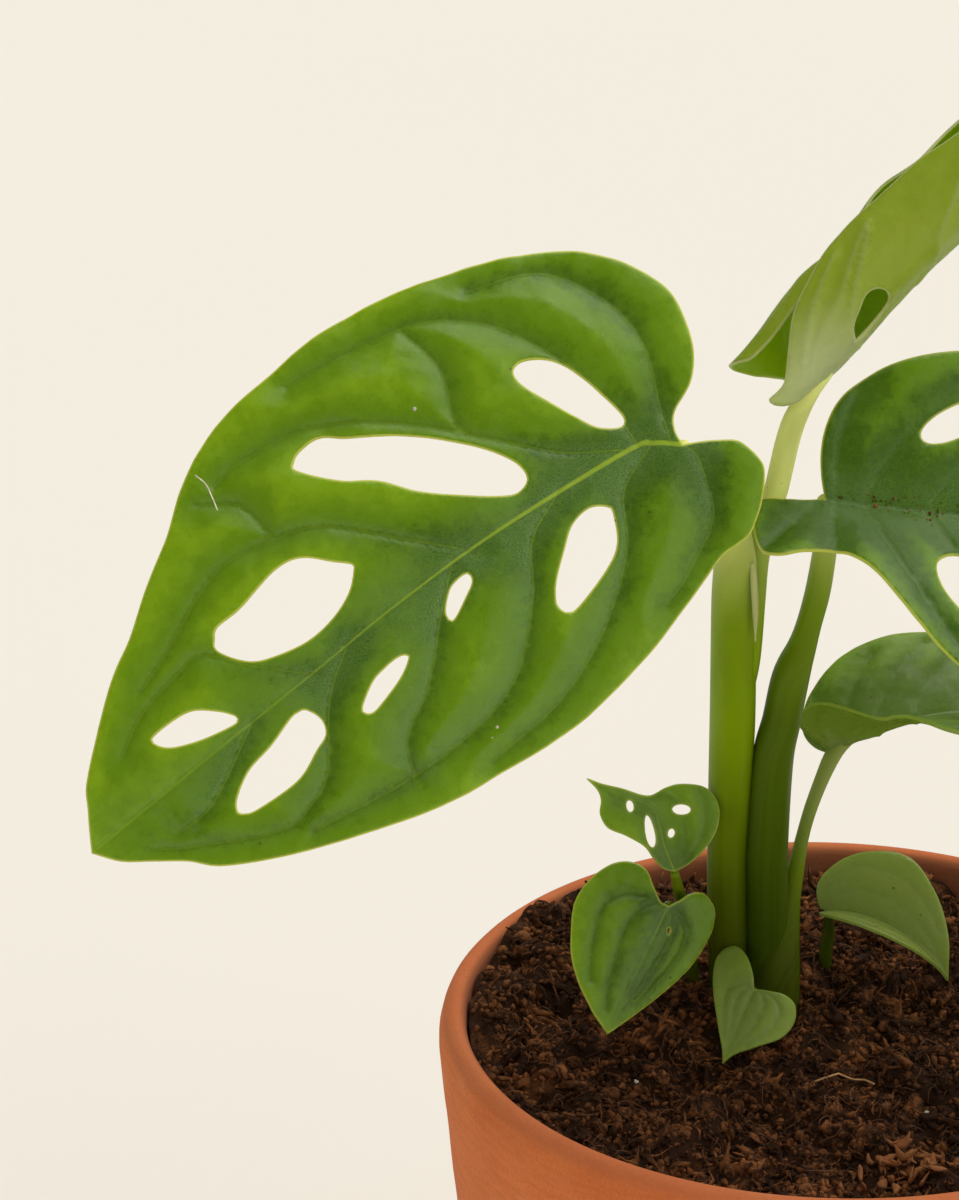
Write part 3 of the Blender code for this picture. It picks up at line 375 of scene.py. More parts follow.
# Light: the sky's colour and strength, and suns as (strength, angle, colour, direction)
SKY_COLOR = (1.0, 0.985, 0.965, 1)
SKY_STRENGTH = 0.34
SUNS = {
    "key": (2.05, 64, (1.0, 0.98, 0.94), (0.38, 0.38, 0.84)),
    "fill": (0.40, 120, (1.0, 0.99, 0.97), (-0.30, -0.80, 0.45)),
    "side": (0.55, 60, (1.0, 0.99, 0.97), (0.80, -0.50, 0.35)),
}
FLOOR_COLORS = ((243, 239, 229), (241, 236, 226))


# Curves and the blade's surface

def smooth_path(points, pieces, closed=False):
    """Points along a Catmull-Rom curve through the given ones, each stretch cut into pieces."""
    rows = np.array(points, float)
    if closed:
        rows = np.vstack([rows[-1:], rows, rows[:2]])
    else:
        rows = np.vstack([2 * rows[:1] - rows[1:2], rows, 2 * rows[-1:] - rows[-2:-1]])
    t = np.linspace(0, 1, pieces, endpoint=False)[:, None]
    path = []
    for a, b, c, d in zip(rows, rows[1:], rows[2:], rows[3:]):
        path.append(0.5 * (2 * b + (c - a) * t + (2 * a - 5 * b + 4 * c - d) * t ** 2
                           + (3 * b - a - 3 * c + d) * t ** 3))
    path = np.vstack(path)
    return path if closed else np.vstack([path, rows[-2:-1]])


def spaced(path, step, columns=2):
    """The same path with its points an even distance apart, near the step."""
    lengths = np.linalg.norm(np.diff(path[:, :columns], axis=0), axis=1)
    lengths = np.concatenate([[0], np.cumsum(lengths)])
    want = np.linspace(0, lengths[-1], max(3, round(lengths[-1] / step) + 1))
    return np.stack([np.interp(want, lengths, path[:, i]) for i in range(path.shape[1])], 1)


def stepped(rows, u, column):
    """A value that goes smoothly from row to row along the blade."""
    value = np.full(len(u), float(rows[0][column]))
    for a, b in zip(rows, rows[1:]):
        t = np.clip((u - a[0]) / (b[0] - a[0]), 0, 1)
        value += (b[column] - a[column]) * t * t * (3 - 2 * t)
    return value


def arc(length, start, turn):
    """End of an arc that leaves at the start angle and turns steadily, in radians per metre."""
    turn = np.where(np.abs(turn) < 1e-6, 1e-6, turn)
    end = start + turn * length
    return (np.sin(end) - np.sin(start)) / turn, (np.cos(start) - np.cos(end)) / turn


def rib_offset(leaf, u):
    """How far the midrib lies to the left of the straight line from stalk to tip."""
    rib = smooth_path(leaf["midrib"], 12)
    return np.interp(u, rib[:, 0], rib[:, 1])


def blade_points(leaf, uv):
    """The points of the bent blade at rows of (u, v)."""
    heading, pitch, roll = (radians(leaf[k]) for k in ("heading", "pitch", "roll"))
    along = np.array([cos(pitch) * cos(heading), cos(pitch) * sin(heading), sin(pitch)])
    up = np.array([-sin(pitch) * cos(heading), -sin(pitch) * sin(heading), cos(pitch)])
    left = np.cross(up, along)
    left, up = left * cos(roll) + up * sin(roll), up * cos(roll) - left * sin(roll)
    size = leaf["length"]
    u, v = uv[:, 0], uv[:, 1]
    bend = -radians(leaf["droop"]) / size
    x, y = arc(u * size, 0.0, np.array(bend))
    angle = (bend * u * size)[:, None]
    normal = up * np.cos(angle) - along * np.sin(angle)
    offset = rib_offset(leaf, u)
    reach = (v - offset) * size
    is_left = reach >= 0
    start = np.where(is_left, stepped(leaf["left_rise"], u, 1), stepped(leaf["right_rise"], u, 1))
    turn = np.where(is_left, stepped(leaf["left_rise"], u, 2), stepped(leaf["right_rise"], u, 2))
    across, height = arc(np.abs(reach), np.radians(start), np.radians(turn) / size)
    across = np.where(is_left, across, -across)
    return (np.array(leaf["base"]) + along * x[:, None] + up * y[:, None]
            + left * (offset * size + across)[:, None] + normal * height[:, None])


def hole_outline(hole, step):
    """An egg-shaped outline, wider at one end, slightly bent, closed."""
    u, v, length, width, angle, taper, bend, squareness = hole
    a = np.linspace(0, 2 * pi, max(16, round(pi * (length + width) / 2 / step)), endpoint=False)
    power = 2 / (2 + squareness)
    x = length / 2 * np.abs(np.cos(a)) ** power * np.sign(np.cos(a))
    y = width / 2 * np.abs(np.sin(a)) ** power * np.sign(np.sin(a)) * (1 - taper * np.cos(a))
    y += bend * width * ((2 * x / length) ** 2 - 0.5)
    t = radians(angle)
    loop = np.stack([u + x * cos(t) - y * sin(t), v + x * sin(t) + y * cos(t)], 1)
    return spaced(np.vstack([loop, loop[:1]]), step)[:-1]


def hole_outlines(leaf, step):
    """The closed outlines of a blade's holes, the drawn ones first."""
    loops = []
    for points in leaf.get("drawn_holes", []):
        path = smooth_path(points, 12, closed=True)
        loops.append(spaced(np.vstack([path, path[:1]]), step)[:-1])
    return loops + [hole_outline(hole, step) for hole in leaf.get("holes", [])]


def inside(points, loop):
    """Which points lie inside the closed loop."""
    hit = np.zeros(len(points), bool)
    for a, b in zip(loop, np.roll(loop, -1, 0)):
        if a[1] == b[1]:
            continue
        cross = (a[1] > points[:, 1]) != (b[1] > points[:, 1])
        side = (b[0] - a[0]) * (points[:, 1] - a[1]) / (b[1] - a[1]) + a[0]
        hit ^= cross & (points[:, 0] < side)
    return hit


def nearest_places(points, lines):
    """For batches of points: their slice, the stretches' starts and runs, and the nearest shares."""
    starts = np.vstack([line[:-1] for line in lines])
    run = np.vstack([line[1:] for line in lines]) - starts
    square = np.maximum((run ** 2).sum(1), 1e-18)
    for first in range(0, len(points), NEAREST_BATCH):
        batch = slice(first, first + NEAREST_BATCH)
        p = points[batch, None, :]
        t = np.clip(((p - starts) * run).sum(2) / square, 0, 1)
        yield batch, p, starts, run, t[..., None]


def distance(points, lines):
    """Distance of each point from the nearest stretch of the lines."""
    best = np.full(len(points), np.inf)
    for batch, p, starts, run, t in nearest_places(points, lines):
        best[batch] = np.sqrt(((starts + run * t - p) ** 2).sum(2)).min(1)
    return best


def vein_side(points, lines):
    """Whether each point lies on the tip's side (1) or the base's side (-1) of its nearest line."""
    sides = np.zeros(len(points))
    for batch, p, starts, run, t in nearest_places(points, lines):
        offset = p - starts - run * t
        near = np.sqrt((offset ** 2).sum(2)).argmin(1)
        apart = offset[np.arange(len(near)), near]
        turn = np.column_stack([run[near, 1], -run[near, 0]])
        turn *= np.where(turn[:, :1] < 0, -1, 1)
        sides[batch] = np.sign((apart * turn).sum(1))
    return sides


def halves(leaf):
    """For each half of a blade: its sign, its edge from the widest place on, and that width."""
    for edge, sign in ((leaf["left_edge"], 1), (leaf["right_edge"], -1)):
        edge = smooth_path(edge, 8)
        forward = edge[np.argmax(np.abs(edge[:, 1])):]
        yield sign, forward, np.abs(edge[:, 1]).max()


def side_veins(leaf):
    """Side veins that leave the midrib, bend towards the tip and fade before the edge."""
    lines = []
    for sign, forward, widest in halves(leaf):
        for start, lean in ((0.0, -0.75), (0.02, -0.15), (0.06, 0.25), (0.15, 0.42), (0.27, 0.5),
                            (0.40, 0.55), (0.54, 0.6), (0.68, 0.65), (0.81, 0.7)):
            width = np.interp(start, forward[:, 0], np.abs(forward[:, 1])) if start > 0.1 else widest
            t = np.linspace(0, 1, 14)
            line = np.stack([start + width * (lean * t + 0.35 * t ** 2), sign * 0.86 * width * t], 1)
            line[:, 1] += rib_offset(leaf, line[:, 0])
            lines.append(line)
    return lines


def arched_veins(leaf):
    """Two long veins on each side that leave the base and run in an arch towards the tip."""
    lines = []
    for sign, forward, widest in halves(leaf):
        for share, last in ((0.34, 0.86), (0.68, 0.72)):
            u = np.linspace(0.0, last, 16)
            width = np.where(u > forward[0, 0], np.interp(u, forward[:, 0], np.abs(forward[:, 1])), widest)
            v = sign * share * width * np.clip(u / 0.22, 0, 1) ** 0.5
            u = u - 0.10 * share * np.sin(pi * np.clip(u / 0.3, 0, 1))
            lines.append(np.stack([u, v + rib_offset(leaf, u)], 1))
    return lines


def bell(distances, width):
    """A smooth bump: one at zero, fading over the width."""
    return np.exp(-(distances / width) ** 2)


def new_object(name, vertices, faces, materials, smooth=True):
    """A mesh object in the scene."""
    mesh = bpy.data.meshes.new(name)
    mesh.from_pydata([tuple(v) for v in vertices], [], [tuple(f) for f in faces])
    obj = bpy.data.objects.new(name, mesh)
    bpy.context.scene.collection.objects.link(obj)
    for material in materials:
        mesh.materials.append(material)
    if smooth:
        mesh.polygons.foreach_set("use_smooth", [True] * len(mesh.polygons))
    return obj


def tube_faces(rings, around, start=0):
    """Faces between rings of vertices that all have the same number around."""
    faces = []
    for first in range(start, start + (rings - 1) * around, around):
        for j in range(around):
            k = (j + 1) % around
            faces.append((first + j, first + k, first + around + k, first + around + j))
    return faces


def capped_tube(rings, around, start=0):
    """The faces of a tube with a cap on each end."""
    last = start + (rings - 1) * around
    caps = [tuple(range(start, start + around))[::-1], tuple(range(last, last + around))]
    return tube_faces(rings, around, start) + caps


def turned_faces(rings, around):
    """The faces of a turned body, closed by fans to two more vertices that follow its rings."""
    last = (rings - 1) * around
    faces = tube_faces(rings, around)
    for j in range(around):
        k = (j + 1) % around
        faces += [(rings * around, k, j), (rings * around + 1, last + j, last + k)]
    return faces


def circle(radius, height, angle):
    """A ring of points at a height."""
    return np.column_stack([radius * np.cos(angle), radius * np.sin(angle),
                            np.full(len(angle), height)])


def unit(rows):
    """The same vectors, one in each row, with length one."""
    return rows / np.linalg.norm(rows, axis=1)[:, None]


def give(obj, name, values):
    """Stores a number or a vector for each vertex, for the material to read."""
    values = np.asarray(values, np.float32)
    kind, key = ("FLOAT_VECTOR", "vector") if values.ndim == 2 else ("FLOAT", "value")
    obj.data.attributes.new(name, kind, "POINT").data.foreach_set(key, values.ravel())


def make_balls(name, world, ball_faces, tints):
    """One piece of many small balls: world has a row of points for each ball."""
    count, corners = world.shape[:2]
    faces = (ball_faces[None] + np.arange(count)[:, None, None] * corners).reshape(-1, 3)
    obj = new_object(name, world.reshape(-1, 3).tolist(), faces.tolist(), [SOIL_MATERIAL])
    give(obj, "tint", np.repeat(tints, corners))
    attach(obj, "root")


def make_leaf(name, leaf, seed):
    """A blade puffed up between its veins, which lie in creases of its upper face."""
    size = leaf["length"]
    step = leaf["step"] / size
    sides = [spaced(smooth_path(leaf[k], 24), step) for k in ("left_edge", "right_edge")]
    outline = np.vstack([sides[0], sides[1][-2:0:-1]])
    holes = hole_outlines(leaf, step)
    closed = [np.vstack([loop, loop[:1]]) for loop in [outline] + holes]
    rib_line = spaced(smooth_path(leaf["midrib"], 24), step)
    if "veins" in leaf:
        veins = [smooth_path(line, 10) for line in leaf["veins"]]
    else:
        veins = arched_veins(leaf) if size < 0.03 else side_veins(leaf)

    def in_blade(points):
        keep = inside(points, outline)
        for hole in holes:
            keep &= ~inside(points, hole)
        return keep

    drawn = np.zeros((0, 2))
    for line in [rib_line[1:-1]] + [spaced(line, step) for line in veins]:
        line = line[in_blade(line)]
        line = line[distance(line, closed) > 0.5 * step]
        if len(drawn) and len(line):
            gaps = np.linalg.norm(line[:, None] - drawn, axis=2).min(1)
            line = line[gaps > 0.6 * step]
        drawn = np.vstack([drawn, line])
    low, high = outline.min(0), outline.max(0)
    rows = np.arange(low[1], high[1], step * 0.866)
    columns = np.arange(low[0], high[0], step)
    grid = np.array([(x + (j % 2) * step / 2, y) for j, y in enumerate(rows) for x in columns])
    grid = grid[in_blade(grid)]
    grid = grid[distance(grid, closed) > 0.6 * step]
    grid = grid[distance(grid, [rib_line] + veins) > 0.5 * step]
    edges = []
    start = 0
    for loop in [outline] + holes:
        edges += [(start + i, start + (i + 1) % len(loop)) for i in range(len(loop))]
        start += len(loop)
    points = np.vstack([outline] + holes + [drawn, grid])
    flat, _, faces, _, _, _ = delaunay_2d_cdt([Vector(p) for p in points], edges, [], 1, 1e-7)
    uv = np.array([p[:] for p in flat])
    faces = np.array(faces)
    faces = faces[in_blade(uv[faces].mean(1))]

    nudge = 1e-4
    surface = blade_points(leaf, uv)
    along = blade_points(leaf, uv + [nudge, 0]) - surface
    across = blade_points(leaf, uv + [0, nudge]) - surface
    normal = unit(np.cross(along, across))

    vein_gap = distance(uv, veins) * size
    rib_gap = distance(uv, [rib_line]) * size
    edge_gap = distance(uv, closed) * size
    taper = np.clip(1.1 - uv[:, 0], 0.15, 1)
    puff = 1 - np.exp(-vein_gap / (VEIN_SPREAD * size))
    puff *= 1 - np.exp(-rib_gap / (RIB_SPREAD * size))
    puff *= 0.7 + 0.3 * (1 - np.exp(-edge_gap / (EDGE_SPREAD * size)))
    ripple = 0.15 * lattice_noise(uv, 0.07, 31) + 0.06 * lattice_noise(uv, 0.025, 37)
    root_gap = np.linalg.norm(uv, axis=1) * size
    swell = leaf["quilt"] * (puff + ripple - 0.5 * np.clip(root_gap / FLAT_BASE, 0, 1))
    keel = 0.010 * size * taper * bell(rib_gap, 0.0005 + 0.0065 * size * taper)
    keel += VEIN_KEEL_DEPTH * bell(vein_gap, VEIN_KEEL)
    crease = leaf["quilt"] * (0.11 * bell(vein_gap, VEIN_CREASE) + 0.10 * bell(rib_gap, RIB_CREASE))
    fade = np.clip(edge_gap / RELIEF_RIM, 0, 1)
    upper = surface + normal * (swell - crease * fade + BLADE / 2)[:, None]
    lower = surface + normal * (swell - keel * fade - BLADE / 2)[:, None]

    count = len(uv)
    used = set()
    for a, b, c in faces.tolist():
        used |= {(a, b), (b, c), (c, a)}
    rim = [(b, a, a + count, b + count) for a, b in used if (b, a) not in used]
    rim.sort()
    solid = faces.tolist() + (faces[:, ::-1] + count).tolist() + rim
    obj = new_object(name + "_blade", np.vstack([upper, lower]), solid, [LEAF_MATERIALS[leaf["kind"]]])
    flags = [True] * (2 * len(faces)) + [False] * len(rim)
    obj.data.polygons.foreach_set("use_smooth", flags)
    give(obj, "blade", np.vstack([np.column_stack([uv * size, np.full(count, seed)])] * 2))
    give(obj, "upper", np.concatenate([np.ones(count), np.zeros(count)]))
    # Painted sheen and shade: a pale sheen band on the tip's side of each vein and a dark shade band on
    # the base's side, stronger on the left half and faded near the outer edge
    side = vein_side(uv, veins)
    band = np.where(side > 0, np.exp(-vein_gap / SHEEN_BAND), -np.exp(-vein_gap / SHADE_BAND))
    rib_side = uv[:, 1] - np.interp(uv[:, 0], rib_line[:, 0], rib_line[:, 1])
    left_half = np.clip(0.5 + rib_side / 0.02, 0, 1)
    band *= 0.35 + 0.65 * left_half
    band *= np.clip(distance(uv, closed[:1]) * size / BAND_RIM, 0, 1)
    # Painted shade: the left half is darkened as far as the painted light is switched on
    shade = leaf.get("tone", 0.0) - 0.12 * leaf.get("bloom_and_painted_light", 0.0) * left_half
    # Gaps in millimetres, those from veins and midrib stretched on the small leaves
    reach = 1000 * min(max(1.0, 0.060 / size), 2.4)
    for key, values in (("vein", vein_gap * reach), ("rib", rib_gap * reach),
                        ("edge", edge_gap * 1000), ("root", root_gap * 1000), ("tip", uv[:, 0]),
                        ("band", band * leaf.get("bloom_and_painted_light", 0.15)), ("tone", shade)):
        give(obj, key, np.tile(values, 2))
    for key, usual in (("rib_show", 0.5), ("vein_show", 0.3), ("dull", 0.0), ("dirt", 0.0),
                       ("margin", 1.0)):
        give(obj, key, np.full(2 * count, leaf.get(key.split("_")[0], usual)))
    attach(obj, "root")
    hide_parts(name)


def make_leaf_bits():
    """Crumbs of soil in the right leaf's crease, three pale grains and a fibre on the large leaf."""
    draw = np.random.default_rng(41)
    ball, ball_faces = crumb_shape(1)
    right, left = LEAVES["leaf_right"], LEAVES["leaf_left"]
    many = CREASE_BITS
    uv = np.column_stack([0.04 + 0.42 * draw.random(many) ** 0.9, draw.normal(0.004, 0.017, many)])
    uv[:, 1] -= 0.16 * np.clip(uv[:, 0] - 0.08, 0, 0.12)
    places = blade_points(right, uv) + [0, 0, 0.00026 - 0.5 * right["quilt"]]
    radii = 0.00009 * 4.0 ** (draw.random(many) ** 2.4)
    shifted = np.tile(ball, (many, 1)) + np.repeat(draw.uniform(0, 60, (many, 3)), len(ball), 0)
    local = ball * (1 + 0.4 * lattice_noise(shifted, 0.7, 3).reshape(many, -1))[..., None]
    world = local * radii[:, None, None] * draw.uniform(0.6, 1.6, (many, 1, 3)) + places[:, None]
    make_balls("leaf_right_soil", world, ball_faces, 0.6 + 0.7 * draw.random(many))
    grains = np.array(LEAF_GRAINS)
    places = blade_points(left, grains[:, :2]) + [0.0, -0.0010, 0.0009]
    radii = grains[:, 2]
    world = ball[None] * radii[:, None, None] + places[:, None]
    make_balls("leaf_left_grains", world, ball_faces, np.full(len(radii), 2.2))
    path = blade_points(left, smooth_path(LEAF_FIBRE, 5)) + [0.0, -0.0012, 0.0011]
    thick, sides, count = LEAF_FIBRE_RADIUS, LEAF_FIBRE_SIDES, len(path)
    rings = [path + [thick * cos(a), 0, thick * sin(a)]
             for a in np.linspace(0, 2 * pi, sides + 1)[:sides]]
    faces = []
    for a in range(sides):
        b = (a + 1) % sides
        faces += [(a * count + i, a * count + i + 1, b * count + i + 1, b * count + i)
                  for i in range(count - 1)]
    ends = tuple(a * count for a in range(sides))
    faces += [ends, tuple(end + count - 1 for end in ends[::-1])]
    obj = new_object("leaf_left_fibre", np.vstack(rings), faces, [FIBRE_MATERIAL])
    give(obj, "tint", np.full(sides * count, 2.0))
    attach(obj, "root")


# Stalks

def sweep(points, segments=28, step=0.0012, seed=0.0, sheath_top=None):
    """Vertices, faces and attributes of a stalk; below its sheath's top it has a seam."""
    path = spaced(smooth_path(points, 12), step, 3)
    centre, radius = path[:, :3], path[:, 3]
    tangent = unit(np.gradient(centre, axis=0))
    side = np.array([1.0, 0, 0])
    rings, runs, heights = [], [], []
    angle = np.linspace(0, 2 * pi, segments, endpoint=False)
    done = 0.0
    for i, (c, r, t) in enumerate(zip(centre, radius, tangent)):
        side = side - t * (side @ t)
        side /= np.linalg.norm(side)
        other = np.cross(t, side)
        shape = 1 + 0.025 * np.cos(2 * angle + 30 * done) + 0.006 * np.sin(5 * angle + seed)
        if sheath_top is not None:
            share = np.clip((sheath_top - c[2]) / 0.02, 0, 1)
            seam = np.exp(-((angle - 5.0 + 0.3 * (sheath_top - c[2]) / 0.05) / 0.16) ** 2)
            shape = shape - 0.10 * share * seam
        ring = c + r * (np.outer(np.cos(angle) * shape, side) + np.outer(np.sin(angle) * shape, other))
        rings.append(ring)
        runs.append(np.column_stack([r * angle, np.full(segments, done), np.full(segments, seed)]))
        heights.append(np.full(segments, c[2]))
        if i + 1 < len(centre):
            done += np.linalg.norm(centre[i + 1] - c)
    return np.vstack(rings), capped_tube(len(rings), segments), np.vstack(runs), np.concatenate(heights)


def paper_strip():
    """Vertices and faces of the thin pale strip on the left stalk's sheath."""
    dense = smooth_path(PAPER_EDGE, 8)
    centre, width = dense[:, :3], dense[:, 3]
    facing = np.array(PAPER_FACING, float)
    facing /= np.linalg.norm(facing)
    across = unit(np.cross(unit(np.gradient(centre, axis=0)), facing))
    rows = []
    for c, w, a in zip(centre, width, across):
        rows += [c - a * w / 2, c - facing * PAPER_THICKNESS, c + a * w / 2,
                 c + facing * PAPER_THICKNESS]
    return np.array(rows), capped_tube(len(centre), 4)


def make_shoot(name, stalks):
    """The stalks of one foot, the main ones with the papery edge of a sheath."""
    parts = []
    for i, (points, sheath_top, foot_shade) in enumerate(stalks):
        v, f, run, height = sweep(points, seed=float(i) + len(name), sheath_top=sheath_top)
        # Painted shade: the stalk darkened towards its foot, below 0.202 m
        dark = foot_shade * np.clip((0.202 - v[:, 2]) / 0.03, 0, 1)
        pale = np.zeros(len(v))
        if points is MIDDLE_STALK:
            height = height + 0.03 * np.clip((height - 0.126) / 0.02, 0, 1)
            pale = 0.45 * np.clip((v[:, 2] - 0.140) / 0.012, 0, 1)
        parts.append((v, f, run, height, pale, dark))
    if name == "main_stalks":
        v, f = paper_strip()
        parts.append((v, f, v, v[:, 2], np.ones(len(v)), np.zeros(len(v))))
    vertices, faces, runs, heights, pales, foot_shades = zip(*parts)
    starts = np.cumsum([0] + [len(v) for v in vertices])
    shifted = [tuple(k + int(start) for k in face) for start, f in zip(starts, faces) for face in f]
    obj = new_object(name + "_skin", np.vstack(vertices), shifted, [STALK_MATERIAL])
    give(obj, "run", np.vstack(runs))
    give(obj, "height", np.concatenate(heights))
    give(obj, "pale", np.concatenate(pales))
    give(obj, "dark", np.concatenate(foot_shades))
    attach(obj, "root")
    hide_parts(name)


# Pot and soil

def wall_radius(height):
    """Outer radius of the pot's straight wall at a height."""
    widest = POT_HEIGHT - WIDEST_BELOW_RIM
    return BASE_RADIUS + (RIM_RADIUS - BASE_RADIUS) * min(height / widest, 1.0)


def lattice_noise(points, scale, seed):
    """Smooth random values from -1 to 1 at points, about one bump per scale."""
    p = points / scale
    cell = np.floor(p).astype(np.int64)
    t = p - cell
    t = t * t * (3 - 2 * t)
    total = np.zeros(len(points))
    dims = points.shape[1]
    for corner in range(2 ** dims):
        offset = np.array([(corner >> i) & 1 for i in range(dims)])
        key = cell + offset
        h = seed * 374761393
        for i, prime in enumerate((73856093, 19349663, 83492791)[:dims]):
            h = h ^ (key[:, i] * prime)
        h = (h ^ (h >> 13)) * 1274126177 & 0x7FFFFFFF
        value = (h % 100003) / 50001.5 - 1
        weight = np.prod(np.where(offset == 1, t, 1 - t), axis=1)
        total += value * weight
    return total


def soil_height(x, y):
    """Gentle mounds and hollows of the soil's surface, as in the CAD."""
    waves = (np.sin(210 * x + 1.1) * np.cos(180 * y - 0.6)
             + 0.7 * np.sin(330 * x - 260 * y + 2.0) + 0.6 * np.cos(420 * x + 390 * y))
    mound = 0.0016 / (1 + ((x + 0.009) ** 2 + (y - 0.012) ** 2) / 0.018 ** 2)
    hollow = 0.0018 / (1 + ((x + 0.017) ** 2 + (y + 0.009) ** 2) / 0.008 ** 2)
    return SOIL_RELIEF * waves + mound - hollow


def soil_top(x, y):
    """Height of the crumbly surface at points."""
    inner = wall_radius(SOIL_LEVEL) - WALL - GAP
    fade = np.clip((inner - np.hypot(x, y)) / 0.004, 0.35, 1)
    p = np.column_stack([x, y])
    crumbs = (0.0016 * lattice_noise(p, 0.0068, 3) + 0.0010 * lattice_noise(p, 0.0030, 5)
              + 0.0005 * lattice_noise(p, 0.0012, 7))
    back = 0.0068 * np.exp(-((x + 0.050) ** 2 + (y - 0.030) ** 2) / 0.030 ** 2)
    return SOIL_LEVEL + soil_height(x, y) * fade + crumbs + back - 0.0004


def make_soil():
    """The soil body with its crumbly top."""
    inner = wall_radius(SOIL_LEVEL) - WALL - GAP
    radii = inner * np.sqrt(np.linspace(0.0, 1, SOIL_RINGS + 1)[1:])
    angle = np.linspace(0, 2 * pi, SOIL_SEGMENTS, endpoint=False)
    x = np.outer(radii, np.cos(angle)).ravel()
    y = np.outer(radii, np.sin(angle)).ravel()
    vertices = [np.column_stack([x, y, soil_top(x, y)])]
    lower = (0.080, 0.045, FLOOR + GAP)
    vertices += [circle(wall_radius(height) - WALL - GAP, height, angle) for height in lower]
    vertices.append([[0, 0, float(soil_top(np.zeros(1), np.zeros(1))[0])], [0, 0, FLOOR + GAP]])
    turned = turned_faces(SOIL_RINGS + len(lower), SOIL_SEGMENTS)
    faces = [face[:1] + face[:0:-1] for face in turned]
    obj = new_object("soil_body", np.vstack(vertices), faces, [SOIL_MATERIAL])
    # Painted shade: the soil body under the crumbs is made very dark so that the gaps between them look
    # shadowed
    give(obj, "tint", np.full(len(obj.data.vertices), -0.7))
    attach(obj, "root")
    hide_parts("soil")


def crumb_shape(detail):
    """Vertices and faces of a small ball to be dented."""
    bm = bmesh.new()
    bmesh.ops.create_icosphere(bm, subdivisions=detail, radius=1)
    v = np.array([p.co[:] for p in bm.verts])
    f = np.array([[p.index for p in face.verts] for face in bm.faces])
    bm.free()
    return v, f


def scatter(draw, count, margin):
    """Places on the soil, spread evenly, at least the margin from the pot's wall."""
    reach = (wall_radius(SOIL_LEVEL) - WALL - GAP - margin) * np.sqrt(draw.random(count))
    turn = 2 * pi * draw.random(count)
    return np.column_stack([reach * np.cos(turn), reach * np.sin(turn)])


def make_lumps(name, detail, sizes, places, lift, tilt, tints, dents, seed):
    """Loose bits that lie on the soil: sizes are half lengths, half widths and half heights."""
    draw = np.random.default_rng(seed)
    ball, ball_faces = crumb_shape(detail)
    count = len(places)
    heights = soil_top(places[:, 0], places[:, 1])
    turn = draw.uniform(0, 2 * pi, count)
    slope = draw.normal(0, tilt, count)
    roll = draw.uniform(0, 2 * pi, count)
    ahead = np.column_stack([np.cos(turn) * np.cos(slope), np.sin(turn) * np.cos(slope), np.sin(slope)])
    aside = np.column_stack([-np.sin(turn), np.cos(turn), np.zeros(count)])
    above = np.cross(ahead, aside)
    aside, above = (aside * np.cos(roll)[:, None] + above * np.sin(roll)[:, None],
                    above * np.cos(roll)[:, None] - aside * np.sin(roll)[:, None])
    offsets = draw.uniform(0, 90, (count, 1, 3))
    local = np.broadcast_to(ball, (count, *ball.shape))
    noise = lattice_noise((local + offsets).reshape(-1, 3), 0.62, seed).reshape(count, -1)
    local = local * (1 + dents * noise)[..., None] * sizes[:, None, :]
    bend = draw.normal(0, 0.5, count)[:, None] * local[..., 0] ** 2 / sizes[:, :1]
    world = (local[..., :1] * ahead[:, None] + (local[..., 1:2] + bend[..., None]) * aside[:, None]
             + local[..., 2:] * above[:, None])
    world += np.column_stack([places, heights + lift])[:, None]
    reach = np.hypot(world[..., 0], world[..., 1])
    limit = wall_radius(SOIL_LEVEL) - WALL - 0.0002
    world[..., :2] *= np.minimum(1, limit / np.maximum(reach, 1e-9))[..., None]
    make_balls(name, world, ball_faces, tints)


def make_litter():
    """Crumbs of peat, shreds of coir, chips of bark and two pale grains."""
    draw = np.random.default_rng(17)
    many = LARGE_CRUMBS
    size = 0.0006 * 2.6 ** (draw.random(many) ** 1.6)
    sizes = size[:, None] * draw.uniform(0.6, 1.3, (many, 3)) * [1.5, 0.85, 0.65]
    make_lumps("soil_crumbs_large", 2, sizes, scatter(draw, many, 0.0015), size * 0.1, 0.5,
               0.9 * draw.random(many) ** 1.5 - 0.3, 0.8, 5)
    many = FINE_CRUMBS
    size = 0.00022 * 3.2 ** draw.random(many)
    sizes = size[:, None] * draw.uniform(0.6, 1.5, (many, 3))
    make_lumps("soil_crumbs_fine", 1, sizes, scatter(draw, many, 0.0006), size * 0.5, 0.6,
               draw.uniform(0.1, 0.95, many), 0.4, 9)
    many = SHREDS
    for name, seed, lift in (("soil_shreds_low", 13, 0.0006), ("soil_shreds_high", 23, 0.0013)):
        long = 0.0005 * 5.2 ** (draw.random(many) ** 1.4)
        wide = 0.00014 * 5.0 ** (draw.random(many) ** 1.6)
        sizes = np.column_stack([long, wide, wide * draw.uniform(0.4, 0.9, many)])
        make_lumps(name, 2, sizes, scatter(draw, many, 0.0026), draw.uniform(-0.0003, lift, many),
                   0.45, 1.25 * draw.random(many) ** 2.2 - 0.3, 0.7, seed)
    many = BARK_CHIPS
    bark = np.column_stack([draw.normal(0.0090, 0.0050, many), draw.normal(-0.0455, 0.0022, many)])
    limits = ((0.0009, 0.0021), (0.0005, 0.0010), (0.0002, 0.0005))
    sizes = np.column_stack([draw.uniform(low, high, many) for low, high in limits])
    make_lumps("soil_bark", 2, sizes, bark, np.full(many, 0.0013), 0.4,
               draw.uniform(1.2, 1.5, many), 0.4, 15)
    make_lumps("soil_grains", 2, np.array(PALE_GRAIN_SIZES), np.array(PALE_GRAINS),
               np.full(2, 0.0014), 0.3, np.full(2, 2.0), 0.3, 19)


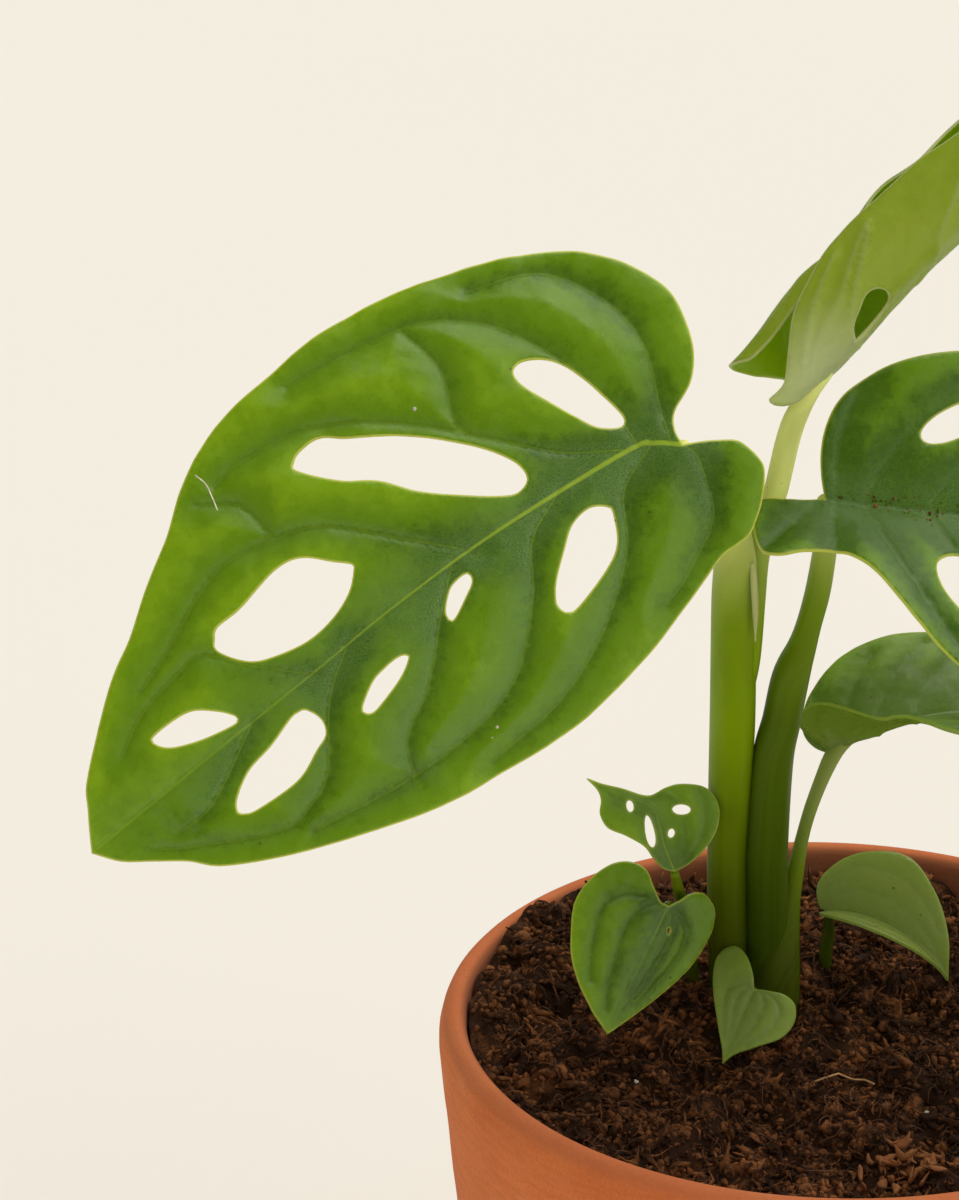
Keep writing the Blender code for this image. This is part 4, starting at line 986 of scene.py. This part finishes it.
def make_fibres():
    """Coir fibres and bits of root on the soil, and one long pale root."""
    draw = np.random.default_rng(21)
    inner = wall_radius(SOIL_LEVEL) - WALL - GAP
    vertices, faces, tints = [], [], []
    start = 0
    for i in range(FIBRES):
        length = 0.0013 * 5.0 ** (draw.random() ** 1.5)
        thick = draw.uniform(0.00004, 0.00011)
        reach = (inner - 0.003) * np.sqrt(draw.random())
        turn = 2 * pi * draw.random()
        heading = 2 * pi * draw.random()
        bend = draw.uniform(-1.8, 1.8)
        t = np.linspace(0, 1, FIBRE_RINGS)
        x = reach * cos(turn) + length * t * np.cos(heading + bend * t)
        y = reach * sin(turn) + length * t * np.sin(heading + bend * t)
        rise = draw.uniform(0.0002, 0.0016) * np.sin(pi * (t * 0.8 + 0.1 * draw.random()))
        tint = draw.random() * 0.8
        if i == 0:
            root = spaced(smooth_path(PALE_ROOT, 8), 0.0026)[:FIBRE_RINGS]
            x, y, thick, tint = root[:, 0], root[:, 1], 0.00022, 1.6
            rise = 0.0012 + 0.0010 * np.sin(pi * t)
        if np.hypot(x, y).max() > inner - 0.001:
            continue
        path = np.column_stack([x, y, soil_top(x, y) + 0.0004 + thick + rise])
        tangent = np.gradient(path, axis=0)
        side = unit(np.cross(tangent, [0, 0, 1]))
        up = unit(np.cross(side, tangent))
        for p, s, n in zip(path, side, up):
            vertices += [p + s * thick, p + n * thick, p - s * thick, p - n * thick]
        faces += capped_tube(FIBRE_RINGS, 4, start)
        start += 4 * FIBRE_RINGS
        tints += [tint] * (4 * FIBRE_RINGS)
    obj = new_object("soil_fibres", vertices, faces, [FIBRE_MATERIAL])
    give(obj, "tint", tints)
    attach(obj, "root")


def make_pot():
    """The terracotta pot, thrown with faint rings in its wall."""
    widest = POT_HEIGHT - WIDEST_BELOW_RIM
    inner = wall_radius(widest) - WALL
    middle = (RIM_RADIUS + inner) / 2
    profile = [(0.0, FLOOR), (0.02, FLOOR), (0.042, FLOOR), (wall_radius(FLOOR) - WALL - 0.002, FLOOR),
               (wall_radius(FLOOR) - WALL, FLOOR + 0.002)]
    profile += [(wall_radius(h) - WALL, h) for h in np.linspace(0.02, widest - 0.002, 24)]
    profile += [(inner + 0.0001, POT_HEIGHT - 0.0032), (inner + 0.0003, POT_HEIGHT - 0.0016),
                (inner + 0.0006, POT_HEIGHT - 0.0008), (inner + 0.0012, POT_HEIGHT - 0.0003),
                (middle - 0.0006, POT_HEIGHT), (middle + 0.0002, POT_HEIGHT - 0.0001),
                (middle + 0.0009, POT_HEIGHT - 0.0005), (RIM_RADIUS - 0.0009, POT_HEIGHT - 0.0012),
                (RIM_RADIUS - 0.0005, POT_HEIGHT - 0.0022), (RIM_RADIUS - 0.0001, POT_HEIGHT - 0.0040),
                (RIM_RADIUS, widest)]
    profile += [(wall_radius(h), h) for h in np.linspace(widest - 0.003, 0.003, 40)]
    profile += [(BASE_RADIUS - 0.0004, 0.0009), (BASE_RADIUS - 0.0012, 0.0002),
                (BASE_RADIUS - 0.002, 0.0), (0.042, 0.0), (0.02, 0.0), (0.0, 0.0)]
    profile = np.array(profile)
    angle = np.linspace(0, 2 * pi, POT_SEGMENTS, endpoint=False)
    rings = profile[1:-1]
    wobble = 1 - 0.0022 * (0.5 + 0.5 * lattice_noise(
        np.column_stack([rings[:, 1], rings[:, 0]]), 0.0035, 11))
    vertices = []
    for (r, z), w in zip(rings, wobble):
        scale = w if 0.004 < z < POT_HEIGHT - 0.004 and r > 0.045 else 1.0
        vertices.append(circle(r * scale, z, angle))
    vertices.append([[0, 0, FLOOR], [0, 0, 0]])
    faces = [face[::-1] for face in turned_faces(len(rings), POT_SEGMENTS)]
    obj = new_object("pot_wall", np.vstack(vertices), faces, [TERRACOTTA_MATERIAL])
    for i in range(DRAIN_HOLES):
        turn = 2 * pi * (i + 0.25) / DRAIN_HOLES
        bpy.ops.mesh.primitive_cylinder_add(vertices=40, radius=DRAIN_RADIUS, depth=4 * FLOOR,
                                            location=(DRAIN_CIRCLE * cos(turn),
                                                      DRAIN_CIRCLE * sin(turn), FLOOR / 2))
        cutter = bpy.context.active_object
        cut = obj.modifiers.new("drain", "BOOLEAN")
        cut.operation = "DIFFERENCE"
        cut.solver = "EXACT"
        cut.object = cutter
        bpy.context.view_layer.objects.active = obj
        bpy.ops.object.modifier_apply(modifier=cut.name)
        bpy.data.objects.remove(cutter)
    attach(obj, "root")
    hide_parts("pot")


# Materials

def linear(red, green, blue):
    """A colour given as 0 to 255 screen values."""
    out = []
    for c in (red / 255, green / 255, blue / 255):
        out.append(c / 12.92 if c <= 0.04045 else ((c + 0.055) / 1.055) ** 2.4)
    return (*out, 1.0)


class Shader:
    """A material's node tree with short calls for the nodes used here."""

    def __init__(self, name):
        self.material = bpy.data.materials.new(name)
        self.material.use_nodes = True
        self.tree = self.material.node_tree
        self.tree.nodes.clear()
        self.output = self.tree.nodes.new("ShaderNodeOutputMaterial")

    def node(self, kind, inputs=None, **settings):
        made = self.tree.nodes.new("ShaderNode" + kind)
        for key, value in settings.items():
            setattr(made, key, value)
        for key, value in (inputs or {}).items():
            self.put(made.inputs[key], value)
        return made

    def put(self, socket, value):
        if isinstance(value, bpy.types.NodeSocket):
            self.tree.links.new(value, socket)
        else:
            socket.default_value = value

    def attribute(self, name, vector=False):
        made = self.node("Attribute", attribute_name=name)
        return made.outputs["Vector" if vector else "Fac"]

    def noise(self, vector, scale, detail=2.0, rough=0.5):
        return self.node("TexNoise", {"Vector": vector, "Scale": scale, "Detail": detail,
                                      "Roughness": rough}).outputs["Fac"]

    def scaled(self, vector, x, y, z):
        return self.node("VectorMath", {0: vector, 1: (x, y, z)}, operation="MULTIPLY").outputs[0]

    def cells(self, vector, scale, feature="F1", output="Distance"):
        return self.node("TexVoronoi", {"Vector": vector, "Scale": scale},
                         feature=feature).outputs[output]

    def math(self, operation, a, b=0.0, clamp=False):
        made = self.node("Math", {0: a, 1: b}, operation=operation)
        made.use_clamp = clamp
        return made.outputs[0]

    def plus(self, a, b, clamp=False):
        return self.math("ADD", a, b, clamp)

    def times(self, a, b, clamp=False):
        return self.math("MULTIPLY", a, b, clamp)

    def picked(self, vector, scale, channel, low, high):
        """One for a share of the cells, chosen at random by a channel of the cell's colour."""
        color = self.cells(vector, scale, output="Color")
        chosen = self.node("SeparateColor", {0: color}).outputs[channel]
        return self.fall(chosen, low, high, 0, 1)

    def fall(self, value, near, far, top=1.0, bottom=0.0):
        """Goes smoothly from top to bottom as the value goes from near to far."""
        return self.node("MapRange", {"Value": value, "From Min": near, "From Max": far,
                                      "To Min": top, "To Max": bottom},
                         interpolation_type="SMOOTHSTEP").outputs[0]

    def mix(self, factor, a, b, blend="MIX"):
        made = self.node("Mix", data_type="RGBA", blend_type=blend)
        self.put(made.inputs[0], factor)
        self.put(made.inputs[6], a)
        self.put(made.inputs[7], b)
        return made.outputs[2]

    def bump(self, height, distance, strength=1.0, normal=None):
        made = self.node("Bump", {"Height": height, "Distance": distance, "Strength": strength})
        if normal is not None:
            self.put(made.inputs["Normal"], normal)
        return made.outputs[0]

    def principled(self, color, roughness, normal=None, **values):
        made = self.node("BsdfPrincipled", {"Base Color": color, "Roughness": roughness})
        if normal is not None:
            self.put(made.inputs["Normal"], normal)
        for key, value in values.items():
            made.inputs[key.replace("_", " ")].default_value = value
        return made.outputs[0]

    def finish(self, surface):
        self.tree.links.new(surface, self.output.inputs["Surface"])
        return self.material


def leaf_material(name, deep, middle, bright, under, margin, rib, glow, through, base):
    """Leaf skin: colour by veins and patches, painted shade and sheen by veins and midrib, painted glints,
    a pale margin, fine grain and specks of dirt.
    """
    s = Shader(name)
    blade = s.attribute("blade", True)
    vein, rib_gap, edge = s.attribute("vein"), s.attribute("rib"), s.attribute("edge")
    upper, tip, shade = s.attribute("upper"), s.attribute("tip"), s.attribute("tone")
    rib_show, vein_show = s.attribute("rib_show"), s.attribute("vein_show")
    grain = s.noise(blade, 4200, 2, 0.7)
    # Darker near veins and lighter between them: partly the leaf's own colour, partly painted shade in the
    # creases and painted light on the puffs
    tone = s.fall(vein, 0.2, 6.0, 0.42, 0.76)
    tone = s.plus(tone, s.fall(s.noise(blade, 80, 5, 0.7), 0.36, 0.64, -0.08, 0.08))
    tone = s.plus(tone, s.fall(s.noise(blade, 420, 4, 0.7), 0.34, 0.66, -0.09, 0.09))
    shadow = s.times(s.fall(rib_gap, 0.5, 15.0, -0.44, 0.0), s.fall(tip, 0.45, 0.9, 1.0, 0.2))
    tone = s.plus(tone, shadow)
    tone = s.plus(tone, s.fall(edge, 0.3, 4.0, 0.10, 0.0))
    tone = s.plus(tone, s.fall(tip, 0.0, 0.35, -0.14, 0.04))
    tone = s.plus(tone, shade, clamp=True)
    color = s.mix(s.fall(tone, 0.0, 0.5, 0, 1), deep, middle)
    color = s.mix(s.fall(tone, 0.5, 1.0, 0, 1), color, bright)
    # Painted sheen: grey-green near the midrib and veins and in the sheen band, broken up by the grain
    painted_sheen = s.plus(s.fall(rib_gap, 0.3, 9.0, 0.46, 0.0), s.fall(vein, 0.1, 2.0, 0.14, 0.0))
    painted_sheen = s.times(painted_sheen, s.fall(tip, 0.5, 0.9, 1.0, 0.3))
    band = s.attribute("band")
    # Painted shade on the base's side of each vein
    color = s.mix(s.fall(band, -1.0, 0.0, 0.55, 0.0), color, deep)
    painted_sheen = s.plus(painted_sheen, s.fall(band, 0.0, 1.0, 0.0, 0.62))
    painted_sheen = s.times(painted_sheen, s.fall(grain, 0.40, 0.62, 0.1, 1.7), clamp=True)
    color = s.mix(painted_sheen, color, linear(116, 150, 88))
    # Painted glints: pale specks on the upper face
    painted_glints = s.times(s.fall(s.noise(blade, 3600, 2), 0.48, 0.66, 0.0, 0.22), upper)
    color = s.mix(painted_glints, color, linear(150, 178, 84))
    net = s.fall(s.cells(blade, 520, "DISTANCE_TO_EDGE"), 0.0, 0.07, 0.12, 0.0)
    color = s.mix(net, color, bright)
    # Painted shade in the vein creases where no vein line is drawn
    crease = s.times(s.math("SUBTRACT", 1.0, vein_show), s.fall(vein, 0.05, 0.5, 0.35, 0.0))
    color = s.mix(crease, color, deep)
    line = s.times(vein_show, s.fall(vein, 0.04, 0.20, 0.60, 0.0))
    color = s.mix(line, color, rib)
    below = s.fall(s.noise(blade, 300, 3), 0.3, 0.7, 0.0, 0.3)
    underside = s.mix(below, under, middle)
    line = s.times(vein_show, s.fall(vein, 0.06, 0.50, 0.75, 0.0))
    underside = s.mix(line, underside, rib)
    color = s.mix(upper, underside, color)
    color = s.mix(s.attribute("dull"), color, linear(170, 182, 98))
    width = s.fall(tip, 0.0, 0.5, 0.40, 0.17)
    share = s.fall(s.math("DIVIDE", rib_gap, width), 0.5, 1.3, 0.95, 0.0)
    share = s.times(share, s.fall(tip, 0.10, 0.80, 1.0, 0.4))
    share = s.times(share, rib_show)
    color = s.mix(share, color, rib)
    heel = s.fall(s.attribute("root"), base[1], base[2], base[3], 0.0)
    heel = s.times(heel, s.math("SUBTRACT", 1.0, upper))
    color = s.mix(heel, color, base[0])
    outer = s.times(s.attribute("margin"), s.fall(edge, 0.08, 0.38, 1.0, 0.0))
    color = s.mix(outer, color, margin)
    plane = s.scaled(blade, 1, 1, 0)
    dirt = s.times(s.fall(s.cells(plane, 190), 0.026, 0.060), s.picked(plane, 190, 0, 0.80, 0.82))
    color = s.mix(s.times(dirt, 0.8), color, linear(84, 46, 22))
    soil = s.times(s.fall(s.cells(plane, 1300), 0.20, 0.42), s.picked(plane, 1300, 1, 0.70, 0.74))
    soil = s.times(soil, s.fall(rib_gap, 0.6, 2.4, 1.0, 0.0))
    soil = s.times(soil, s.fall(tip, 0.20, 0.30, 1.0, 0.0))
    soil = s.times(soil, s.times(s.attribute("dirt"), upper))
    color = s.mix(soil, color, linear(58, 34, 16))
    rough = s.fall(s.noise(blade, 420, 3), 0.3, 0.7, 0.25, 0.34)
    normal = s.bump(grain, 0.00008, 0.7)
    normal = s.bump(s.noise(blade, 560, 2), 0.00022, 0.5, normal)
    skin = s.principled(color, rough, normal, IOR=1.45, Specular_IOR_Level=0.66)
    inner = s.node("BsdfTranslucent", {"Color": s.mix(0.55, color, glow)})
    both = s.node("MixShader", {0: through, 1: skin, 2: inner.outputs[0]})
    return s.finish(both.outputs[0])


def stalk_material():
    """Stalk skin: dark at the foot, partly its own colour and partly painted shade, yellow-green above,
    smooth, with faint lengthwise streaks.
    """
    s = Shader("stalk_skin")
    run = s.attribute("run", True)
    height, pale, dark = s.attribute("height"), s.attribute("pale"), s.attribute("dark")
    streak = s.noise(s.scaled(run, 1, 0.02, 1), 900, 2)
    cloud = s.noise(s.scaled(run, 1, 0.3, 1), 130, 2)
    # Darker towards the foot: partly the stalk's own colour, partly painted shade
    color = s.mix(s.fall(height, 0.118, 0.178, 1.0, 0.0), linear(134, 164, 0), linear(74, 84, 0))
    color = s.mix(s.fall(height, 0.190, 0.225, 0.0, 1.0), color, linear(244, 250, 150))
    # Painted shade on the lower stalk
    color = s.mix(dark, color, linear(54, 80, 0))
    color = s.mix(s.fall(streak, 0.38, 0.68, 0.0, 0.04), color, linear(190, 196, 90))
    color = s.mix(s.fall(cloud, 0.42, 0.66, 0.0, 0.25), color, linear(88, 108, 2))
    color = s.mix(s.times(pale, 0.5), color, linear(226, 218, 168))
    dots = s.cells(run, 420)
    color = s.mix(s.fall(dots, 0.04, 0.08, 0.4, 0.0), color, linear(84, 78, 22))
    normal = s.bump(streak, 0.00001, 0.3)
    skin = s.principled(color, s.fall(cloud, 0.3, 0.7, 0.40, 0.52), normal, IOR=1.45,
                        Specular_IOR_Level=0.15, Subsurface_Weight=0.2, Subsurface_Scale=0.0015)
    return s.finish(skin)


def terracotta_material():
    """Unglazed clay: fine grain, faint turning marks, pale bloom and darker specks."""
    s = Shader("terracotta_clay")
    place = s.node("TexCoord").outputs["Object"]
    bands = s.noise(s.scaled(place, 0.12, 0.12, 1), 900, 3, 0.6)
    cloud = s.noise(place, 28, 4, 0.6)
    grain = s.noise(place, 1800, 4, 0.75)
    color = s.mix(s.fall(cloud, 0.35, 0.68, 0.0, 1.0), linear(220, 117, 59), linear(230, 131, 71))
    color = s.mix(s.fall(bands, 0.40, 0.66, 0.0, 0.22), color, linear(186, 92, 44))
    bloom_and_painted_light = s.fall(s.noise(place, 55, 5, 0.7), 0.52, 0.74, 0.0, 0.35)
    color = s.mix(bloom_and_painted_light, color, linear(224, 164, 122))
    color = s.mix(s.fall(grain, 0.36, 0.62, 0.20, 0.0), color, linear(150, 70, 34))
    height = s.node("SeparateXYZ", {0: place}).outputs[2]
    reach = s.node("VectorMath", {0: s.scaled(place, 1, 1, 0)}, operation="LENGTH").outputs["Value"]
    # The inside wall turns darker above the given heights
    inside_wall = s.fall(reach, RIM_RADIUS - WALL + 0.0014, RIM_RADIUS - WALL + 0.0005, 0.0, 0.8)
    inside_wall = s.times(inside_wall, s.fall(height, *INSIDE_DARKENING, 0.0, 1.0))
    color = s.mix(inside_wall, color, linear(128, 80, 58))
    lip = s.fall(height, POT_HEIGHT - 0.0030, POT_HEIGHT - 0.0006, 0.0, 0.5)
    color = s.mix(lip, color, linear(186, 106, 66))
    specks = s.cells(place, 330)
    dark = s.times(s.fall(specks, 0.06, 0.14), s.picked(place, 330, 0, 0.86, 0.88))
    color = s.mix(s.times(dark, 0.7), color, linear(92, 46, 26))
    normal = s.bump(grain, 0.00016, 0.55)
    normal = s.bump(bands, 0.00022, 0.5, normal)
    return s.finish(s.principled(color, s.fall(cloud, 0.3, 0.7, 0.80, 0.92), normal,
                                 Specular_IOR_Level=0.3))


def soil_material():
    """Moist peat with reddish coir, light bark and pale grains."""
    s = Shader("soil_crumb")
    place = s.node("TexCoord").outputs["Object"]
    tint = s.attribute("tint")
    clump = s.noise(place, 150, 6, 0.8)
    fine = s.noise(place, 2600, 4, 0.85)
    shift = s.plus(s.fall(clump, 0.38, 0.64, -0.25, 0.65), s.times(tint, 0.5))
    color = s.mix(s.plus(shift, 0.0, True), linear(59, 34, 16), linear(178, 112, 64))
    color = s.mix(s.fall(fine, 0.58, 0.74, 0.0, 0.45), color, linear(176, 112, 64))
    color = s.mix(s.fall(fine, 0.28, 0.46, 0.75, 0.0), color, linear(16, 8, 3))
    color = s.mix(s.fall(tint, 1.0, 1.4, 0.0, 0.85), color, linear(172, 112, 66))
    color = s.mix(s.fall(tint, 1.7, 1.9, 0.0, 0.9), color, linear(236, 228, 214))
    normal = s.bump(fine, 0.00055, 0.9)
    return s.finish(s.principled(color, s.fall(clump, 0.3, 0.7, 0.82, 0.97), normal,
                                 Specular_IOR_Level=0.2))


def fibre_material():
    """Coir fibres from dark to tan."""
    s = Shader("coir_fibre")
    place = s.node("TexCoord").outputs["Object"]
    tint = s.attribute("tint")
    color = s.mix(s.fall(tint, 0.0, 1.0, 0.0, 1.0), linear(60, 34, 18), linear(140, 90, 54))
    color = s.mix(s.fall(tint, 1.2, 1.5, 0.0, 1.0), color, linear(200, 152, 100))
    color = s.mix(s.fall(tint, 1.7, 1.9, 0.0, 1.0), color, linear(250, 242, 220))
    color = s.mix(s.fall(s.noise(place, 1500, 2), 0.4, 0.6, 0.0, 0.3), color, linear(60, 38, 22))
    return s.finish(s.principled(color, 0.8, None, Specular_IOR_Level=0.3))


def floor_material():
    """A plain pale surface."""
    s = Shader("pale_floor")
    place = s.node("TexCoord").outputs["Object"]
    color = s.mix(s.noise(place, 2.0, 2), *(linear(*color) for color in FLOOR_COLORS))
    return s.finish(s.principled(color, 0.9, None, Specular_IOR_Level=0.0))


LEAF_MATERIALS = {
    "leaf": leaf_material(
        "leaf_skin", linear(62, 100, 10), linear(120, 162, 3), linear(154, 194, 1),
        linear(140, 160, 60), linear(240, 240, 100), linear(188, 214, 66),
        linear(200, 236, 2), 0.38, (linear(150, 166, 90), 0.4, 3.5, 0.5)),
    "young_leaf": leaf_material(
        "young_leaf_skin", linear(136, 168, 2), linear(152, 184, 2), linear(168, 198, 2),
        linear(190, 206, 64), linear(236, 236, 170), linear(208, 214, 140),
        linear(200, 228, 2), 0.46, (linear(248, 248, 196), 2.0, 20.0, 1.0)),
}
STALK_MATERIAL = stalk_material()
TERRACOTTA_MATERIAL = terracotta_material()
SOIL_MATERIAL = soil_material()
FIBRE_MATERIAL = fibre_material()

make_pot()
make_soil()
make_litter()
make_fibres()
for shoot_name, shoot in SHOOTS.items():
    make_shoot(shoot_name, shoot)
for index, (leaf_name, leaf_data) in enumerate(LEAVES.items()):
    make_leaf(leaf_name, leaf_data, 0.37 * (index + 1))
make_leaf_bits()

# Floor, light and camera
floor = new_object("floor", [(-4, -3, 0), (4, -3, 0), (4, 5, 0), (-4, 5, 0)], [(0, 1, 2, 3)],
                   [floor_material()], smooth=False)

# Soft even light from all round, which glossy surfaces do not mirror
world = bpy.data.worlds.new("studio")
bpy.context.scene.world = world
world.use_nodes = True
background = world.node_tree.nodes["Background"]
background.inputs[0].default_value = SKY_COLOR
background.inputs[1].default_value = SKY_STRENGTH
world.cycles_visibility.glossy = False

# Wide suns, of which glossy surfaces do not mirror the fill
for sun_name, (energy, spread, sun_color, direction) in SUNS.items():
    sun = bpy.data.lights.new(sun_name, "SUN")
    sun.energy = energy
    sun.angle = radians(spread)
    sun.color = sun_color
    lamp = bpy.data.objects.new(sun_name, sun)
    lamp.rotation_euler = Vector(direction).to_track_quat("Z", "Y").to_euler()
    lamp.visible_glossy = sun_name != "fill"
    bpy.context.scene.collection.objects.link(lamp)

lens = bpy.data.cameras.new("camera")
lens.sensor_width = 36
lens.lens = CAMERA_LENS
lens.clip_start = 0.01
camera = bpy.data.objects.new("camera", lens)
camera.location = CAMERA_AT
camera.rotation_euler = (radians(CAMERA_TILT), 0, 0)
bpy.context.scene.collection.objects.link(camera)
bpy.context.scene.camera = camera
bpy.context.scene.view_settings.view_transform = "Standard"
